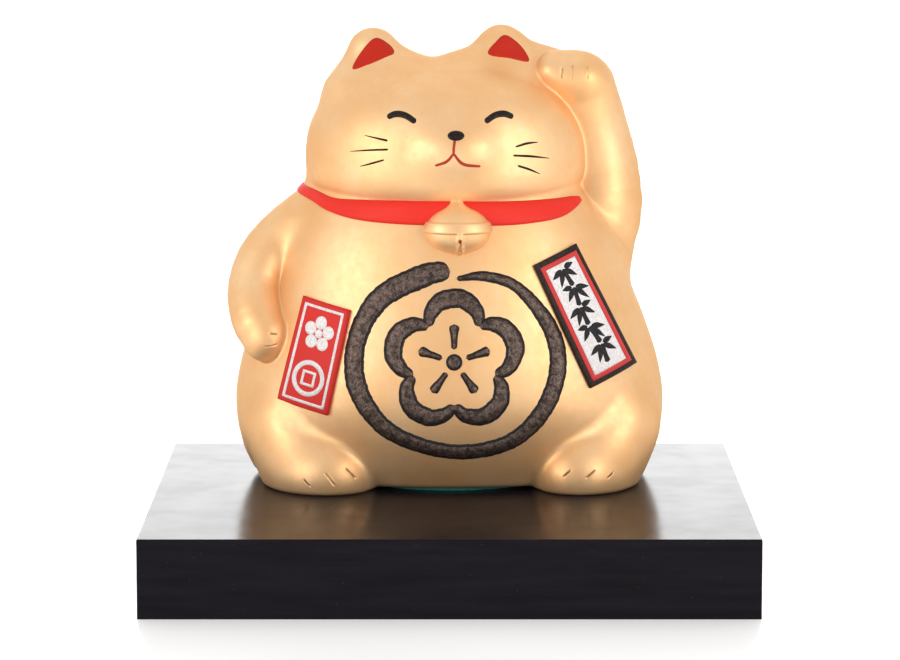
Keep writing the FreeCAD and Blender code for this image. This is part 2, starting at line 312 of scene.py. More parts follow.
def chamber_field(p):
    """The hollow that holds the coins."""
    hollow = smooth_min(torso_field(p), head_field(p), 8) + WALL
    return smooth_max(hollow, CHAMBER_FLOOR - p[:, 2], 3)


def openings_field(p):
    """The chamber with its coin slot, the base hole and the recess round it."""
    q = np.abs(p - np.array(SLOT_CENTRE)) - np.array(SLOT_HALF) + SLOT_ROUND
    slot = np.linalg.norm(np.maximum(q, 0), axis=1) + np.minimum(q.max(axis=1), 0) - SLOT_ROUND
    level = np.hypot(p[:, 0], p[:, 1])
    hole = np.maximum(level - HOLE_RADIUS, p[:, 2] - CHAMBER_FLOOR - 3)
    recess = np.maximum(level - RECESS_RADIUS, p[:, 2] - RECESS_TOP)
    return np.minimum(np.minimum(chamber_field(p), slot), np.minimum(hole, recess))


def cast_form(p):
    """Everything gold, cut flat where the feet stand."""
    return smooth_max(whole_field(p), -p[:, 2], FOOT_EDGE)


def cat_field(p):
    """The casting alone: past the joint it sinks away and runs on a little under the raised arm."""
    side = side_of_arm(p)
    f = np.maximum(cast_form(p) + np.clip(-side - SEAM_SHARED, 0, SEAM_SINK), -(side + CAT_LAP))
    return smooth_max(f, -openings_field(p), OPENING_EDGE)


def arm_field(p):
    """The raised arm alone: past the joint it sinks into the casting."""
    side = side_of_arm(p)
    return np.maximum(cast_form(p) + np.clip(side - SEAM_SHARED, 0, SEAM_SINK), side - ARM_LAP)


# ---------------------------------------------------------------- meshing


def field_grid(field, low, high, cell):
    """The field on a grid, worked out a layer of x at a time to keep memory small."""
    axes = [np.arange(lo, hi + cell, cell) for lo, hi in zip(low, high)]
    grid = np.empty([len(a) for a in axes], dtype=np.float32)
    y, z = np.meshgrid(axes[1], axes[2], indexing="ij")
    for i in range(0, len(axes[0]), 8):
        xs = axes[0][i : i + 8]
        p = np.empty((len(xs), y.shape[0], y.shape[1], 3))
        p[..., 0] = xs[:, None, None]
        p[..., 1] = y
        p[..., 2] = z
        grid[i : i + len(xs)] = field(p.reshape(-1, 3)).reshape(len(xs), *y.shape)
    return grid


def surface_net(field, low, high, cell):
    """Vertices and quads of the field's zero surface: one vertex in each cell that the surface crosses."""
    grid = field_grid(field, low, high, cell)
    inside = grid < 0
    nx, ny, nz = (n - 1 for n in grid.shape)
    corners = [(i, j, k) for i in (0, 1) for j in (0, 1) for k in (0, 1)]
    count = sum(inside[i : i + nx, j : j + ny, k : k + nz].astype(np.int8) for i, j, k in corners)
    crossed = (count > 0) & (count < 8)
    cells = np.argwhere(crossed)
    index = -np.ones(crossed.shape, dtype=np.int64)
    index[crossed] = np.arange(len(cells))
    total = np.zeros((len(cells), 3))
    hits = np.zeros(len(cells))
    for a in corners:
        for axis in range(3):
            if a[axis]:
                continue
            b = list(a)
            b[axis] = 1
            va = grid[cells[:, 0] + a[0], cells[:, 1] + a[1], cells[:, 2] + a[2]]
            vb = grid[cells[:, 0] + b[0], cells[:, 1] + b[1], cells[:, 2] + b[2]]
            cross = (va < 0) != (vb < 0)
            t = np.where(cross, va / np.where(cross, va - vb, 1), 0)
            point = np.tile(np.array(a, dtype=float), (len(cells), 1))
            point[:, axis] = t
            total[cross] += point[cross]
            hits[cross] += 1
    verts = np.array(low) + (cells + total / hits[:, None]) * cell
    quads = []
    for axis in range(3):
        u, v = [(1, 2), (2, 0), (0, 1)][axis]
        size = [nx, ny, nz]
        here = [slice(1, n) for n in size]
        here[axis] = slice(0, size[axis])
        ahead = list(here)
        ahead[axis] = slice(1, size[axis] + 1)
        a, b = inside[tuple(here)], inside[tuple(ahead)]
        edges = np.argwhere(a != b) + np.array([0 if i == axis else 1 for i in range(3)])
        outward = inside[edges[:, 0], edges[:, 1], edges[:, 2]]
        ring = []
        for du, dv in ((0, 0), (-1, 0), (-1, -1), (0, -1)):
            c = edges.copy()
            c[:, u] += du
            c[:, v] += dv
            ring.append(index[c[:, 0], c[:, 1], c[:, 2]])
        ring = np.stack(ring, axis=1)
        ring[~outward] = ring[~outward][:, ::-1]
        quads.append(ring)
    return verts, np.concatenate(quads)


def gradient(field, p, step=0.05):
    """The field's slope at each point."""
    slopes = []
    for axis in range(3):
        d = np.zeros(3)
        d[axis] = step
        slopes.append((field(p + d) - field(p - d)) / (2 * step))
    return np.stack(slopes, axis=-1)


def pull_to_surface(field, verts, rounds=2, reach=0.6):
    """Moves vertices along the slope onto the zero surface, never far."""
    start = verts.copy()
    for _ in range(rounds):
        g = gradient(field, verts)
        verts = verts - (field(verts) / np.maximum((g**2).sum(axis=1), 0.05))[:, None] * g
        away = verts - start
        length = np.linalg.norm(away, axis=1, keepdims=True)
        verts = start + away * np.minimum(1, reach / np.maximum(length, 1e-9))
    return verts


def to_row(p):
    """From the cat's millimetres to the row frame in metres."""
    return (np.asarray(p, dtype=float) + np.array([0, CAT_BACK, PLINTH_TOP])) * MM


def from_row(places):
    """From the row frame in metres to the cat's millimetres."""
    return np.array([tuple(place) for place in places]) / MM - np.array([0, CAT_BACK, PLINTH_TOP])


def mesh_object(name, verts, faces, material):
    """A new smooth-shaded object from vertices in the row frame, in metres."""
    mesh = bpy.data.meshes.new(name)
    mesh.from_pydata([tuple(v) for v in verts], [], [tuple(int(i) for i in f) for f in faces])
    mesh.validate()
    obj = bpy.data.objects.new(name, mesh)
    bpy.context.scene.collection.objects.link(obj)
    mesh.materials.append(material)
    mesh.shade_smooth()
    return obj


def add_piece(name, shape, material, body, stands_for=()):
    """A finished piece that rides on a body, with the material given, in place of the CAD parts that it
    stands for.
    """
    verts, faces = shape
    obj = mesh_object(name, to_row(verts), faces, material)
    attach(obj, body)
    if stands_for:
        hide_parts(*stands_for)


# ---------------------------------------------------------------- surfaces that carry paint
# A surface is a function of two arrays in millimetres that returns points and outward directions.


RAY_DEPTHS = np.arange(-66.0, 30.0, 1.5)


def first_crossing(value_at, steps, halvings):
    """The last place outside a form and the first one inside it, along rays tried step by step."""
    values = np.stack([value_at(step) for step in steps])
    first = np.argmax(values < 0, axis=0)
    outside, inside = steps[np.maximum(first - 1, 0)], steps[first]
    for _ in range(halvings):
        middle = (outside + inside) / 2
        within = value_at(middle) < 0
        inside = np.where(within, middle, inside)
        outside = np.where(within, outside, middle)
    return outside, inside


def front_of(field):
    """The surface that a ray along +Y meets first at each (x, z)."""

    def surface(x, z):
        x, z = np.asarray(x, dtype=float), np.asarray(z, dtype=float)

        def value_at(y):
            return field(vec(x, np.broadcast_to(y, x.shape), z))

        near, far = first_crossing(value_at, RAY_DEPTHS, 14)
        point = vec(x, (near + far) / 2, z)
        slope = gradient(field, point)
        return point, slope / np.linalg.norm(slope, axis=1, keepdims=True)

    return surface


def panel_of(corners, width, length, lift):
    """A bent panel that lies on the torso: u runs across it and v up it, from its middle."""
    top_left, top_right, low_right, low_left = (np.array(c, dtype=float) for c in corners)
    belly = front_of(belly_field)

    def surface(u, v):
        s, t = (np.asarray(u) / width + 0.5)[:, None], (np.asarray(v) / length + 0.5)[:, None]
        at = (top_left * (1 - s) + top_right * s) * t + (low_left * (1 - s) + low_right * s) * (1 - t)
        point, out = belly(at[:, 0], at[:, 1])
        return point + out * lift, out

    return surface


def curve_through(points, step, closed=False):
    """Evenly spaced points on a Catmull-Rom curve through rows that begin with a position."""
    rows = np.array(points, dtype=float)
    if closed:
        rows = np.concatenate([rows[-1:], rows, rows[:2]])
    else:
        rows = np.concatenate([2 * rows[:1] - rows[1:2], rows, 2 * rows[-1:] - rows[-2:-1]])
    fine = []
    for a, b, c, d in zip(rows, rows[1:], rows[2:], rows[3:]):
        t = np.linspace(0, 1, 40, endpoint=False)[:, None]
        cubic = (3 * b - a - 3 * c + d) * t**3 + (2 * a - 5 * b + 4 * c - d) * t**2
        fine.append(0.5 * (2 * b + (c - a) * t + cubic))
    fine.append(rows[-2:-1])
    fine = np.concatenate(fine)
    length = np.concatenate([[0], np.cumsum(np.hypot(*np.diff(fine[:, :2], axis=0).T))])
    at = np.linspace(0, length[-1], max(6, int(round(length[-1] / step)) + 1))
    return np.stack([np.interp(at, length, fine[:, k]) for k in range(fine.shape[1])], axis=1), at


def wander(n, rng, waves, size):
    """Smooth random numbers along a line: a sum of sines with random phases."""
    t = np.linspace(0, 2 * np.pi, n)
    total = sum(np.sin(t * w + rng.uniform(0, 2 * np.pi)) for w in waves)
    return total * size / math.sqrt(len(waves))


def ribbon(top, bottom):
    """A closed strip between two grids of points."""
    n, m, _ = top.shape
    verts = np.concatenate([top.reshape(-1, 3), bottom.reshape(-1, 3)])
    low = n * m
    faces = []
    for i in range(n - 1):
        for j in range(m - 1):
            a, b, c, d = i * m + j, i * m + j + 1, (i + 1) * m + j + 1, (i + 1) * m + j
            faces.append((a, d, c, b))
            faces.append((low + a, low + b, low + c, low + d))
    rim = [i * m for i in range(n)] + [(n - 1) * m + j for j in range(1, m)]
    rim += [i * m + m - 1 for i in range(n - 2, -1, -1)] + list(range(m - 2, 0, -1))
    for a, b in zip(rim, rim[1:] + rim[:1]):
        faces.append((b, a, low + a, low + b))
    return verts, faces


def stroke(points, height, surface, step=0.7, across=9, sink=0.45, rough=0.0, seed=0, blunt=0.9):
    """A ribbon of paint along rows of (x, z, half width), rounded at its ends and domed across."""
    rng = np.random.default_rng(seed)
    line, at = curve_through(points, step)
    n = len(line)
    along = np.gradient(line[:, :2], axis=0)
    along /= np.linalg.norm(along, axis=1, keepdims=True)
    side = np.stack([-along[:, 1], along[:, 0]], axis=1)
    end = np.minimum(at, at[-1] - at)
    reach = np.maximum(line[:, 2] * blunt, 0.05)
    taper = np.sqrt(np.clip(1 - (1 - np.clip(end / reach, 0, 1)) ** 2, 0.0004, 1))
    waves = [max(2, int(at[-1] / w)) for w in (9.0, 4.1, 2.3)]
    left = line[:, 2] * taper * (1 + wander(n, rng, waves, rough))
    right = line[:, 2] * taper * (1 + wander(n, rng, waves, rough))
    t = np.linspace(-1, 1, across)
    offset = np.where(t[None, :] < 0, t[None, :] * left[:, None], t[None, :] * right[:, None])
    flat = line[:, None, :2] + side[:, None, :] * offset[..., None]
    point, out = surface(flat[..., 0].ravel(), flat[..., 1].ravel())
    dome = (1 - np.abs(t) ** 3)[None, :] * taper[:, None] * height
    grain = 1 + rough * 2.5 * rng.normal(size=dome.shape)
    top = point + out * (dome * grain).reshape(-1, 1)
    bottom = point - out * sink
    return ribbon(top.reshape(n, across, 3), bottom.reshape(n, across, 3))


def patch(outline, height, surface, rings=7, step=0.8, sink=0.45):
    """A closed island of paint inside a smooth outline of (x, z) points."""
    edge, _ = curve_through(outline, step, closed=True)
    edge = edge[:-1]
    middle = edge.mean(axis=0)
    n = len(edge)
    levels = np.linspace(1, 0, rings + 1)[:-1]
    flat = np.concatenate([middle + (edge - middle) * level for level in levels] + [middle[None, :]])
    point, out = surface(flat[:, 0], flat[:, 1])
    level_of = np.concatenate([np.full(n, level) for level in levels] + [[0]])
    top = point + out * (height * (1 - level_of**8))[:, None]
    bottom = point - out * sink
    low = len(top)
    faces = []
    for r in range(rings):
        for i in range(n):
            j = (i + 1) % n
            a, b = r * n + i, r * n + j
            if r == rings - 1:
                faces.append((a, b, rings * n))
                faces.append((low + b, low + a, low + rings * n))
            else:
                c, d = a + n, b + n
                faces.append((a, b, d, c))
                faces.append((low + b, low + a, low + c, low + d))
    for i in range(n):
        j = (i + 1) % n
        faces.append((j, i, low + i, low + j))
    return np.concatenate([top, bottom]), faces


def oval(centre, half_width, half_height, points=8, turn=0.0):
    """An outline of points round an ellipse, for a patch."""
    angles = np.radians(turn) + np.arange(points) * 2 * np.pi / points
    return [(centre[0] + half_width * math.cos(a), centre[1] + half_height * math.sin(a)) for a in angles]


def sheet(half_width, half_length, height, surface, step=1.0, sink=0.3, round_edge=0.0):
    """A closed panel over a rectangle of the surface, with an optional rounded edge."""
    u = np.linspace(-half_width, half_width, int(2 * half_width / step) + 2)
    v = np.linspace(-half_length, half_length, int(2 * half_length / step) + 2)
    if round_edge:
        u = np.sort(np.append(u, [-half_width + round_edge * 0.3, half_width - round_edge * 0.3]))
        v = np.sort(np.append(v, [-half_length + round_edge * 0.3, half_length - round_edge * 0.3]))
    gu, gv = np.meshgrid(u, v, indexing="xy")
    point, out = surface(gu.ravel(), gv.ravel())
    edge = np.minimum(half_width - np.abs(gu), half_length - np.abs(gv)).ravel()
    drop = np.zeros_like(edge)
    if round_edge:
        inward = np.clip(1 - edge / round_edge, 0, 1)
        drop = round_edge * (1 - np.sqrt(1 - inward**2))
    top = point + out * (height - drop)[:, None]
    bottom = point - out * sink
    return ribbon(top.reshape(*gu.shape, 3)[::-1], bottom.reshape(*gu.shape, 3)[::-1])


def band(outer, inner, height, surface, sink=0.3):
    """A closed border of paint between two loops of (u, v) that have equally many points."""
    (outer, outer_out), (inner, inner_out) = (surface(*np.array(loop).T) for loop in (outer, inner))
    n = len(outer)
    rings = (
        outer + outer_out * height,
        inner + inner_out * height,
        inner - inner_out * sink,
        outer - outer_out * sink,
    )
    faces = []
    for r in range(4):
        for i in range(n):
            j = (i + 1) % n
            a, b = r * n, (r + 1) % 4 * n
            faces.append((a + i, a + j, b + j, b + i))
    return np.concatenate(rings), faces


def rectangle_loop(half_width, half_length, across, along, centre=(0, 0)):
    """Points round a rectangle, with a given number of steps along each pair of sides."""
    u = np.linspace(-half_width, half_width, across + 1)[:-1]
    v = np.linspace(-half_length, half_length, along + 1)[:-1]
    loop_u = np.concatenate([u, np.full(along, half_width), -u, np.full(along, -half_width)])
    loop_v = np.concatenate([np.full(across, -half_length), v, np.full(across, half_length), -v])
    return np.stack([loop_u + centre[0], loop_v + centre[1]], axis=1)


def frame_line(half_width, half_length, line, height, surface, step=1.0):
    """A closed border of even width whose outer edge is a rectangle of the surface."""
    steps = int(2 * half_width / step) + 1, int(2 * half_length / step) + 1
    outer = rectangle_loop(half_width, half_length, *steps)
    inner = rectangle_loop(half_width - line, half_length - line, *steps)
    return band(outer, inner, height, surface)


def joined(parts):
    """Several closed shapes as one list of vertices and faces."""
    verts, faces, start = [], [], 0
    for v, f in parts:
        verts.append(v)
        faces += [tuple(i + start for i in face) for face in f]
        start += len(v)
    return np.concatenate(verts), faces


ON_AXIS = 1e-6


def lathe(profile, segments):
    """A closed solid turned about Z from a closed profile of (radius, height)."""
    angles = np.arange(segments) * 2 * np.pi / segments
    verts, rings = [], []
    for r, z in profile:
        if r < ON_AXIS:
            rings.append([len(verts)] * segments)
            verts.append((0.0, 0.0, z))
        else:
            rings.append(list(range(len(verts), len(verts) + segments)))
            verts += [(r * math.cos(a), r * math.sin(a), z) for a in angles]
    faces = []
    for low, high in zip(rings, rings[1:] + rings[:1]):
        for i in range(segments):
            j = (i + 1) % segments
            face = list(dict.fromkeys((low[i], low[j], high[j], high[i])))
            if len(face) > 2:
                faces.append(tuple(face))
    return np.array(verts), faces


def rounded(corners, radius, steps=4):
    """A closed profile whose corners off the axis are rounded."""
    out = []
    n = len(corners)
    for i, corner in enumerate(corners):
        here = np.array(corner, dtype=float)
        if corner[0] < ON_AXIS:
            out.append(tuple(here))
            continue
        back = np.array(corners[i - 1], dtype=float) - here
        ahead = np.array(corners[(i + 1) % n], dtype=float) - here
        cut = min(radius, 0.45 * np.linalg.norm(back), 0.45 * np.linalg.norm(ahead))
        start = here + back / np.linalg.norm(back) * cut
        end = here + ahead / np.linalg.norm(ahead) * cut
        for k in range(steps + 1):
            t = k / steps
            out.append(tuple(start * (1 - t) ** 2 + here * 2 * t * (1 - t) + end * t**2))
    return out


# ---------------------------------------------------------------- materials


class Look:
    """A procedural material on one Principled shader. Sizes of its patterns are in millimetres."""

    def __init__(self, name, **sockets):
        self.material = bpy.data.materials.new(name)
        self.material.use_nodes = True
        self.tree = self.material.node_tree
        self.shader = self.tree.nodes["Principled BSDF"]
        for socket, value in sockets.items():
            self.shader.inputs[socket.replace("_", " ")].default_value = value
        self.place = self.tree.nodes.new("ShaderNodeTexCoord").outputs["Object"]
        self.normal = None

    def noise(self, size, detail=3.0, roughness=0.55, stretch=(1, 1, 1)):
        """Cloudy noise with blotches of about that size, drawn out along an axis where stretch is small."""
        mapping = self.tree.nodes.new("ShaderNodeMapping")
        mapping.inputs["Scale"].default_value = stretch
        self.tree.links.new(self.place, mapping.inputs["Vector"])
        node = self.tree.nodes.new("ShaderNodeTexNoise")
        node.inputs["Scale"].default_value = 1 / (size * MM)
        node.inputs["Detail"].default_value = detail
        node.inputs["Roughness"].default_value = roughness
        self.tree.links.new(mapping.outputs["Vector"], node.inputs["Vector"])
        return node.outputs["Fac"]

    def grains(self, size):
        """Round grains, for sand, felt knots and specks."""
        node = self.tree.nodes.new("ShaderNodeTexVoronoi")
        node.inputs["Scale"].default_value = 1 / (size * MM)
        self.tree.links.new(self.place, node.inputs["Vector"])
        return node.outputs["Distance"]

    def ramp(self, value, *stops):
        """Colours or greys along a value, as (position, colour) stops."""
        node = self.tree.nodes.new("ShaderNodeValToRGB")
        band = node.color_ramp.elements
        while len(band) < len(stops):
            band.new(0.5)
        for element, (position, colour) in zip(band, stops):
            grey = isinstance(colour, (int, float))
            element.position = position
            element.color = (colour, colour, colour, 1) if grey else (*colour, 1)
        self.tree.links.new(value, node.inputs["Fac"])
        return node.outputs["Color"]

    def mix(self, factor, low, high):
        """One colour over another; low and high are outputs or colours."""
        node = self.tree.nodes.new("ShaderNodeMix")
        node.data_type = "RGBA"
        for socket, value in ((node.inputs[0], factor), (node.inputs[6], low), (node.inputs[7], high)):
            if isinstance(value, bpy.types.NodeSocket):
                self.tree.links.new(value, socket)
            else:
                socket.default_value = value if isinstance(value, float) else (*value, 1)
        return node.outputs[2]

    def hollows(self, *stops):
        """A ramp on how convex the surface is, below a half in creases and above it on ridges."""
        node = self.tree.nodes.new("ShaderNodeNewGeometry")
        return self.ramp(node.outputs["Pointiness"], *stops)

    def mark(self, name):
        """A number from 0 to 1 that the mesh carries at its vertices."""
        node = self.tree.nodes.new("ShaderNodeAttribute")
        node.attribute_name = name
        return node.outputs["Fac"]

    def bump(self, height, depth, strength=1.0):
        """Adds fine relief of that depth to what is there."""
        node = self.tree.nodes.new("ShaderNodeBump")
        node.inputs["Distance"].default_value = depth * MM
        node.inputs["Strength"].default_value = strength
        self.tree.links.new(height, node.inputs["Height"])
        if self.normal is not None:
            self.tree.links.new(self.normal, node.inputs["Normal"])
        self.normal = node.outputs["Normal"]
        self.tree.links.new(self.normal, self.shader.inputs["Normal"])

    def set(self, socket, output):
        self.tree.links.new(output, self.shader.inputs[socket])


GOLD_DEEP, GOLD, GOLD_PALE = (0.93, 0.54, 0.25), (0.96, 0.60, 0.31), (0.98, 0.67, 0.38)
# painted shade: the near-black brown that the gold is darkened towards inside its creases
CREASE_PAINTED_SHADE = (0.14, 0.075, 0.03)
CREASE_SHADE_MARK = "crease"


def gold_lacquer():
    """Satin gold lacquer: cloudy sprayed pigment, a fine grain, and painted shade that darkens the creases.
    """
    look = Look("gold_lacquer", Metallic=0.64, Specular_Tint=(0.38, 0.30, 0.22, 1))
    cloud, mottle, speck = look.noise(26, 4), look.noise(3.0, 5, 0.65), look.noise(0.5, 2)
    colour = look.ramp(cloud, (0.32, GOLD_DEEP), (0.5, GOLD), (0.68, GOLD_PALE))
    colour = look.mix(look.ramp(mottle, (0.38, 0.0), (0.7, 0.3)), colour, GOLD_DEEP)
    # painted shade: where the vertices' crease mark is high, the gold is darkened towards a near-black
    # brown
    colour = look.mix(look.ramp(look.mark(CREASE_SHADE_MARK), (0.15, 0.0), (0.9, 0.9)), colour, CREASE_PAINTED_SHADE)
    look.set("Base Color", colour)
    look.set("Roughness", look.ramp(mottle, (0.3, 0.46), (0.7, 0.55)))
    look.bump(look.noise(9, 3), 0.25, 0.35)
    look.bump(mottle, 0.06, 0.4)
    look.bump(speck, 0.03, 0.5)
    return look.material


def bare_ceramic():
    """The unglazed inside of the casting."""
    look = Look("bare_ceramic")
    biscuit = look.noise(6, 6)
    look.set("Base Color", look.ramp(biscuit, (0.35, (0.50, 0.45, 0.38)), (0.65, (0.66, 0.61, 0.53))))
    look.set("Roughness", look.ramp(look.noise(1.2), (0.3, 0.75), (0.7, 0.92)))
    look.bump(look.noise(1.0, 5), 0.2, 0.6)
    return look.material


def red_paint(name, colour, dark, roughness):
    """Hand-brushed red paint, a little darker where it is thin at its edges."""
    look = Look(name, Specular_IOR_Level=0.16)
    brushed = look.noise(2.2, 4, 0.6, (0.25, 1, 1))
    tone = look.ramp(brushed, (0.05, dark), (0.35, colour))
    tone = look.mix(look.hollows((0.5, 0.0), (0.58, 0.65)), tone, dark)
    look.set("Base Color", tone)
    look.set("Roughness", look.ramp(brushed, (0.3, roughness + 0.1), (0.7, roughness)))
    look.bump(brushed, 0.06, 0.4)
    return look.material


def black_enamel():
    """Raised black enamel with bronze sand in it, which catches the light."""
    look = Look("sanded_black_enamel", Specular_IOR_Level=0.3, Metallic=0.85)
    sand, clots = look.grains(0.5), look.noise(1.6, 3, 0.6)
    colour = look.ramp(sand, (0.22, (0.012, 0.009, 0.010)), (0.40, (0.20, 0.145, 0.12)))
    colour = look.mix(look.ramp(clots, (0.36, 0.7), (0.6, 0.0)), colour, (0.010, 0.007, 0.009))
    look.set("Base Color", colour)
    look.set("Roughness", look.ramp(sand, (0.15, 0.42), (0.5, 0.55)))
    look.bump(clots, 0.25, 0.5)
    look.bump(sand, 0.12, 0.6)
    return look.material


def face_paint(name, thin, thick, roughness):
    """Paint laid with a fine brush."""
    look = Look(name, Specular_IOR_Level=0.2)
    streak = look.noise(0.8, 3)
    look.set("Base Color", look.ramp(streak, (0.35, thin), (0.6, thick)))
    look.set("Roughness", look.ramp(streak, (0.3, roughness), (0.7, roughness + 0.15)))
    look.bump(streak, 0.05, 0.5)
    return look.material


def black_lacquer():
    """Polished black lacquer on wood: faint grain under it, fine scuffs and dust."""
    look = Look("black_lacquer", IOR=1.13)
    grain, haze = look.noise(3.0, 5, 0.6, (0.08, 1, 1)), look.noise(16, 5, 0.6)
    dust = look.ramp(look.grains(3.4), (0.045, 0.55), (0.06, 0.0))
    colour = look.ramp(grain, (0.35, (0.0085, 0.007, 0.010)), (0.65, (0.0125, 0.0105, 0.0145)))
    look.set("Base Color", look.mix(dust, colour, (0.06, 0.055, 0.06)))
    look.set("Roughness", look.ramp(haze, (0.35, 0.16), (0.65, 0.22)))
    look.bump(grain, 0.01, 0.12)
    look.bump(look.noise(0.9, 2), 0.006, 0.2)
    return look.material


def felt_cloth():
    look = Look("teal_felt", Sheen_Weight=0.5, Sheen_Roughness=0.5)
    fibre = look.noise(0.5, 5, 0.7)
    look.set("Base Color", look.ramp(fibre, (0.35, (0.004, 0.12, 0.10)), (0.65, (0.02, 0.30, 0.25))))
    look.set("Roughness", look.ramp(fibre, (0.3, 0.9), (0.7, 1.0)))
    look.bump(fibre, 0.25, 0.8)
    return look.material


def soft_rubber():
    look = Look("moulded_rubber")
    bloom = look.noise(7, 5)
    look.set("Base Color", look.ramp(bloom, (0.35, (0.52, 0.49, 0.42)), (0.65, (0.66, 0.64, 0.58))))
    look.set("Roughness", look.ramp(bloom, (0.3, 0.5), (0.7, 0.68)))
    look.bump(look.noise(0.8, 4), 0.08, 0.5)
    return look.material


def pale_floor():
    look = Look("studio_floor", Emission_Color=(1, 1, 1, 1), Emission_Strength=0.22)
    look.set("Base Color", look.ramp(look.noise(300, 3), (0.3, 0.90), (0.7, 0.93)))
    look.set("Roughness", look.ramp(look.noise(120, 3), (0.3, 0.35), (0.7, 0.42)))
    return look.material


gold = gold_lacquer()
RED, RED_DARK = (0.82, 0.036, 0.024), (0.60, 0.022, 0.015)
collar_red = red_paint("collar_red", RED, RED_DARK, 0.42)
ear_red = red_paint("ear_red", (0.50, 0.022, 0.009), (0.36, 0.018, 0.010), 0.5)
enamel = black_enamel()
eye_black = face_paint("brushed_black", (0.030, 0.018, 0.012), (0.008, 0.006, 0.006), 0.4)
mouth_red = face_paint("brushed_red", (0.34, 0.045, 0.015), (0.48, 0.035, 0.018), 0.45)
plaque_red = red_paint("plaque_red", (0.68, 0.035, 0.028), (0.40, 0.02, 0.014), 0.45)
plaque_pink = red_paint("plaque_pink", (0.72, 0.075, 0.075), (0.60, 0.045, 0.04), 0.5)
plaque_white = face_paint("plaque_white", (0.72, 0.66, 0.66), (0.88, 0.85, 0.85), 0.5)
plaque_black = face_paint("plaque_black", (0.040, 0.022, 0.016), (0.016, 0.010, 0.009), 0.45)
motif_black = face_paint("motif_black", (0.028, 0.026, 0.030), (0.012, 0.011, 0.013), 0.5)


# ---------------------------------------------------------------- the casting and its arm

# Short creases between the toes, seen from the front: x and z of both ends, half width and depth.
CREASES = (
    (-49.4, 5.8, -46.9, 3.2, 0.26, 0.40),
    (-42.2, 8.4, -38.6, 3.6, 0.30, 0.55),
    (-35.2, 9.6, -31.8, 5.6, 0.30, 0.50),
    (41.2, 9.0, 38.4, 6.4, 0.28, 0.45),
    (49.4, 8.9, 46.1, 6.1, 0.28, 0.50),
    (55.7, 7.6, 53.4, 5.6, 0.26, 0.45),
    (-63.0, 48.9, -58.4, 49.6, 0.28, 0.55),
    (-61.4, 53.5, -58.2, 53.0, 0.26, 0.40),
    (38.5, 143.0, 38.3, 138.4, 0.45, 0.40),
    (41.9, 143.8, 42.0, 138.2, 0.40, 0.45),
    (46.9, 143.4, 47.0, 138.6, 0.28, 0.55),
)
CREASE_REACH, VALLEY_REACH = 2.0, 1.3
CREASE_CUTS, VALLEY_CUTS = 4, 2
REFINE_MARGIN = 1.5  # vertices this much further out than the divided faces are pulled in too
LIP_SHARE, LIP_PLACE = 0.15, 2.2  # a faint lip beside each crease, as shares of its depth and half width
# how far the painted shade of a crease spreads, as a share of its half width
SHADE_MARK_SPREAD = 1.3
LOWERED_VALLEY_TOP = 84  # above this the lowered arm flows into the shoulder with no valley
INSIDE_SKIN, INSIDE_KEPT = 0.6, 0.72  # the hollow's faces are this near its field, and this share is kept


def crease_lines():
    """Each crease as its two ends on the form, with its half width and depth."""
    surface = front_of(whole_field)
    for x0, z0, x1, z1, half, depth in CREASES:
        (start, end), _ = surface([x0, x1], [z0, z1])
        yield start, end, half, depth


def crease_distance(p):
    """How far points are from the nearest crease."""
    return np.min([capsule(p, start, end, 0) for start, end, _, _ in crease_lines()], axis=0)


def valley_distance(p):
    """Nearly zero where an arm meets the body in a sharp valley."""
    above = np.maximum(0, p[:, 2] - LOWERED_VALLEY_TOP)
    lowered = np.abs(lowered_arm_field(p) - trunk_field(p)) + above
    return np.minimum(np.abs(side_of_arm(p)), lowered)


def refine(obj, field, distance, reach, cuts):
    """Divides the faces within reach and pulls their vertices onto the field's surface."""
    work = bmesh.new()
    work.from_mesh(obj.data)
    work.faces.ensure_lookup_table()
    near = distance(from_row([face.calc_center_median() for face in work.faces])) < reach
    edges = {edge for i in np.flatnonzero(near) for edge in work.faces[i].edges}
    bmesh.ops.subdivide_edges(work, edges=list(edges), cuts=cuts, use_grid_fill=True)
    verts = list(work.verts)
    places = from_row([v.co for v in verts])
    near = np.flatnonzero(distance(places) < reach * REFINE_MARGIN)
    for i, place in zip(near, to_row(pull_to_surface(field, places[near], 3))):
        verts[i].co = place
    work.to_mesh(obj.data)
    work.free()


def sink_creases(obj, field):
    """Presses each crease in square to the surface, and marks how deep each vertex lies in one, as the
    amount of painted shade that darkens the gold there.
    """
    places = from_row([v.co for v in obj.data.vertices])
    near = np.flatnonzero(crease_distance(places) < CREASE_REACH)
    slope = gradient(field, places[near])
    out = slope / np.linalg.norm(slope, axis=1, keepdims=True)
    drop, mark = np.zeros(len(near)), np.zeros(len(obj.data.vertices))
    for start, end, half, depth in crease_lines():
        along = end - start
        t = (places[near] - start) @ along / (along @ along)
        away = capsule(places[near], start, end, 0)
        fade = 1 - np.abs(2 * np.clip(t, 0, 1) - 1) ** 3
        lip = LIP_SHARE * np.exp(-((away / half - LIP_PLACE) ** 2))
        drop += depth * fade * (np.exp(-((away / half) ** 2)) - lip)
        # painted shade: this mark sets how far the gold is darkened here
        mark[near] += fade * np.exp(-((away / (half * SHADE_MARK_SPREAD)) ** 2))
    for i, place in zip(near, to_row(places[near] - out * drop[:, None])):
        obj.data.vertices[i].co = place
    obj.data.attributes.new(CREASE_SHADE_MARK, "FLOAT", "POINT").data.foreach_set("value", np.minimum(mark, 1))


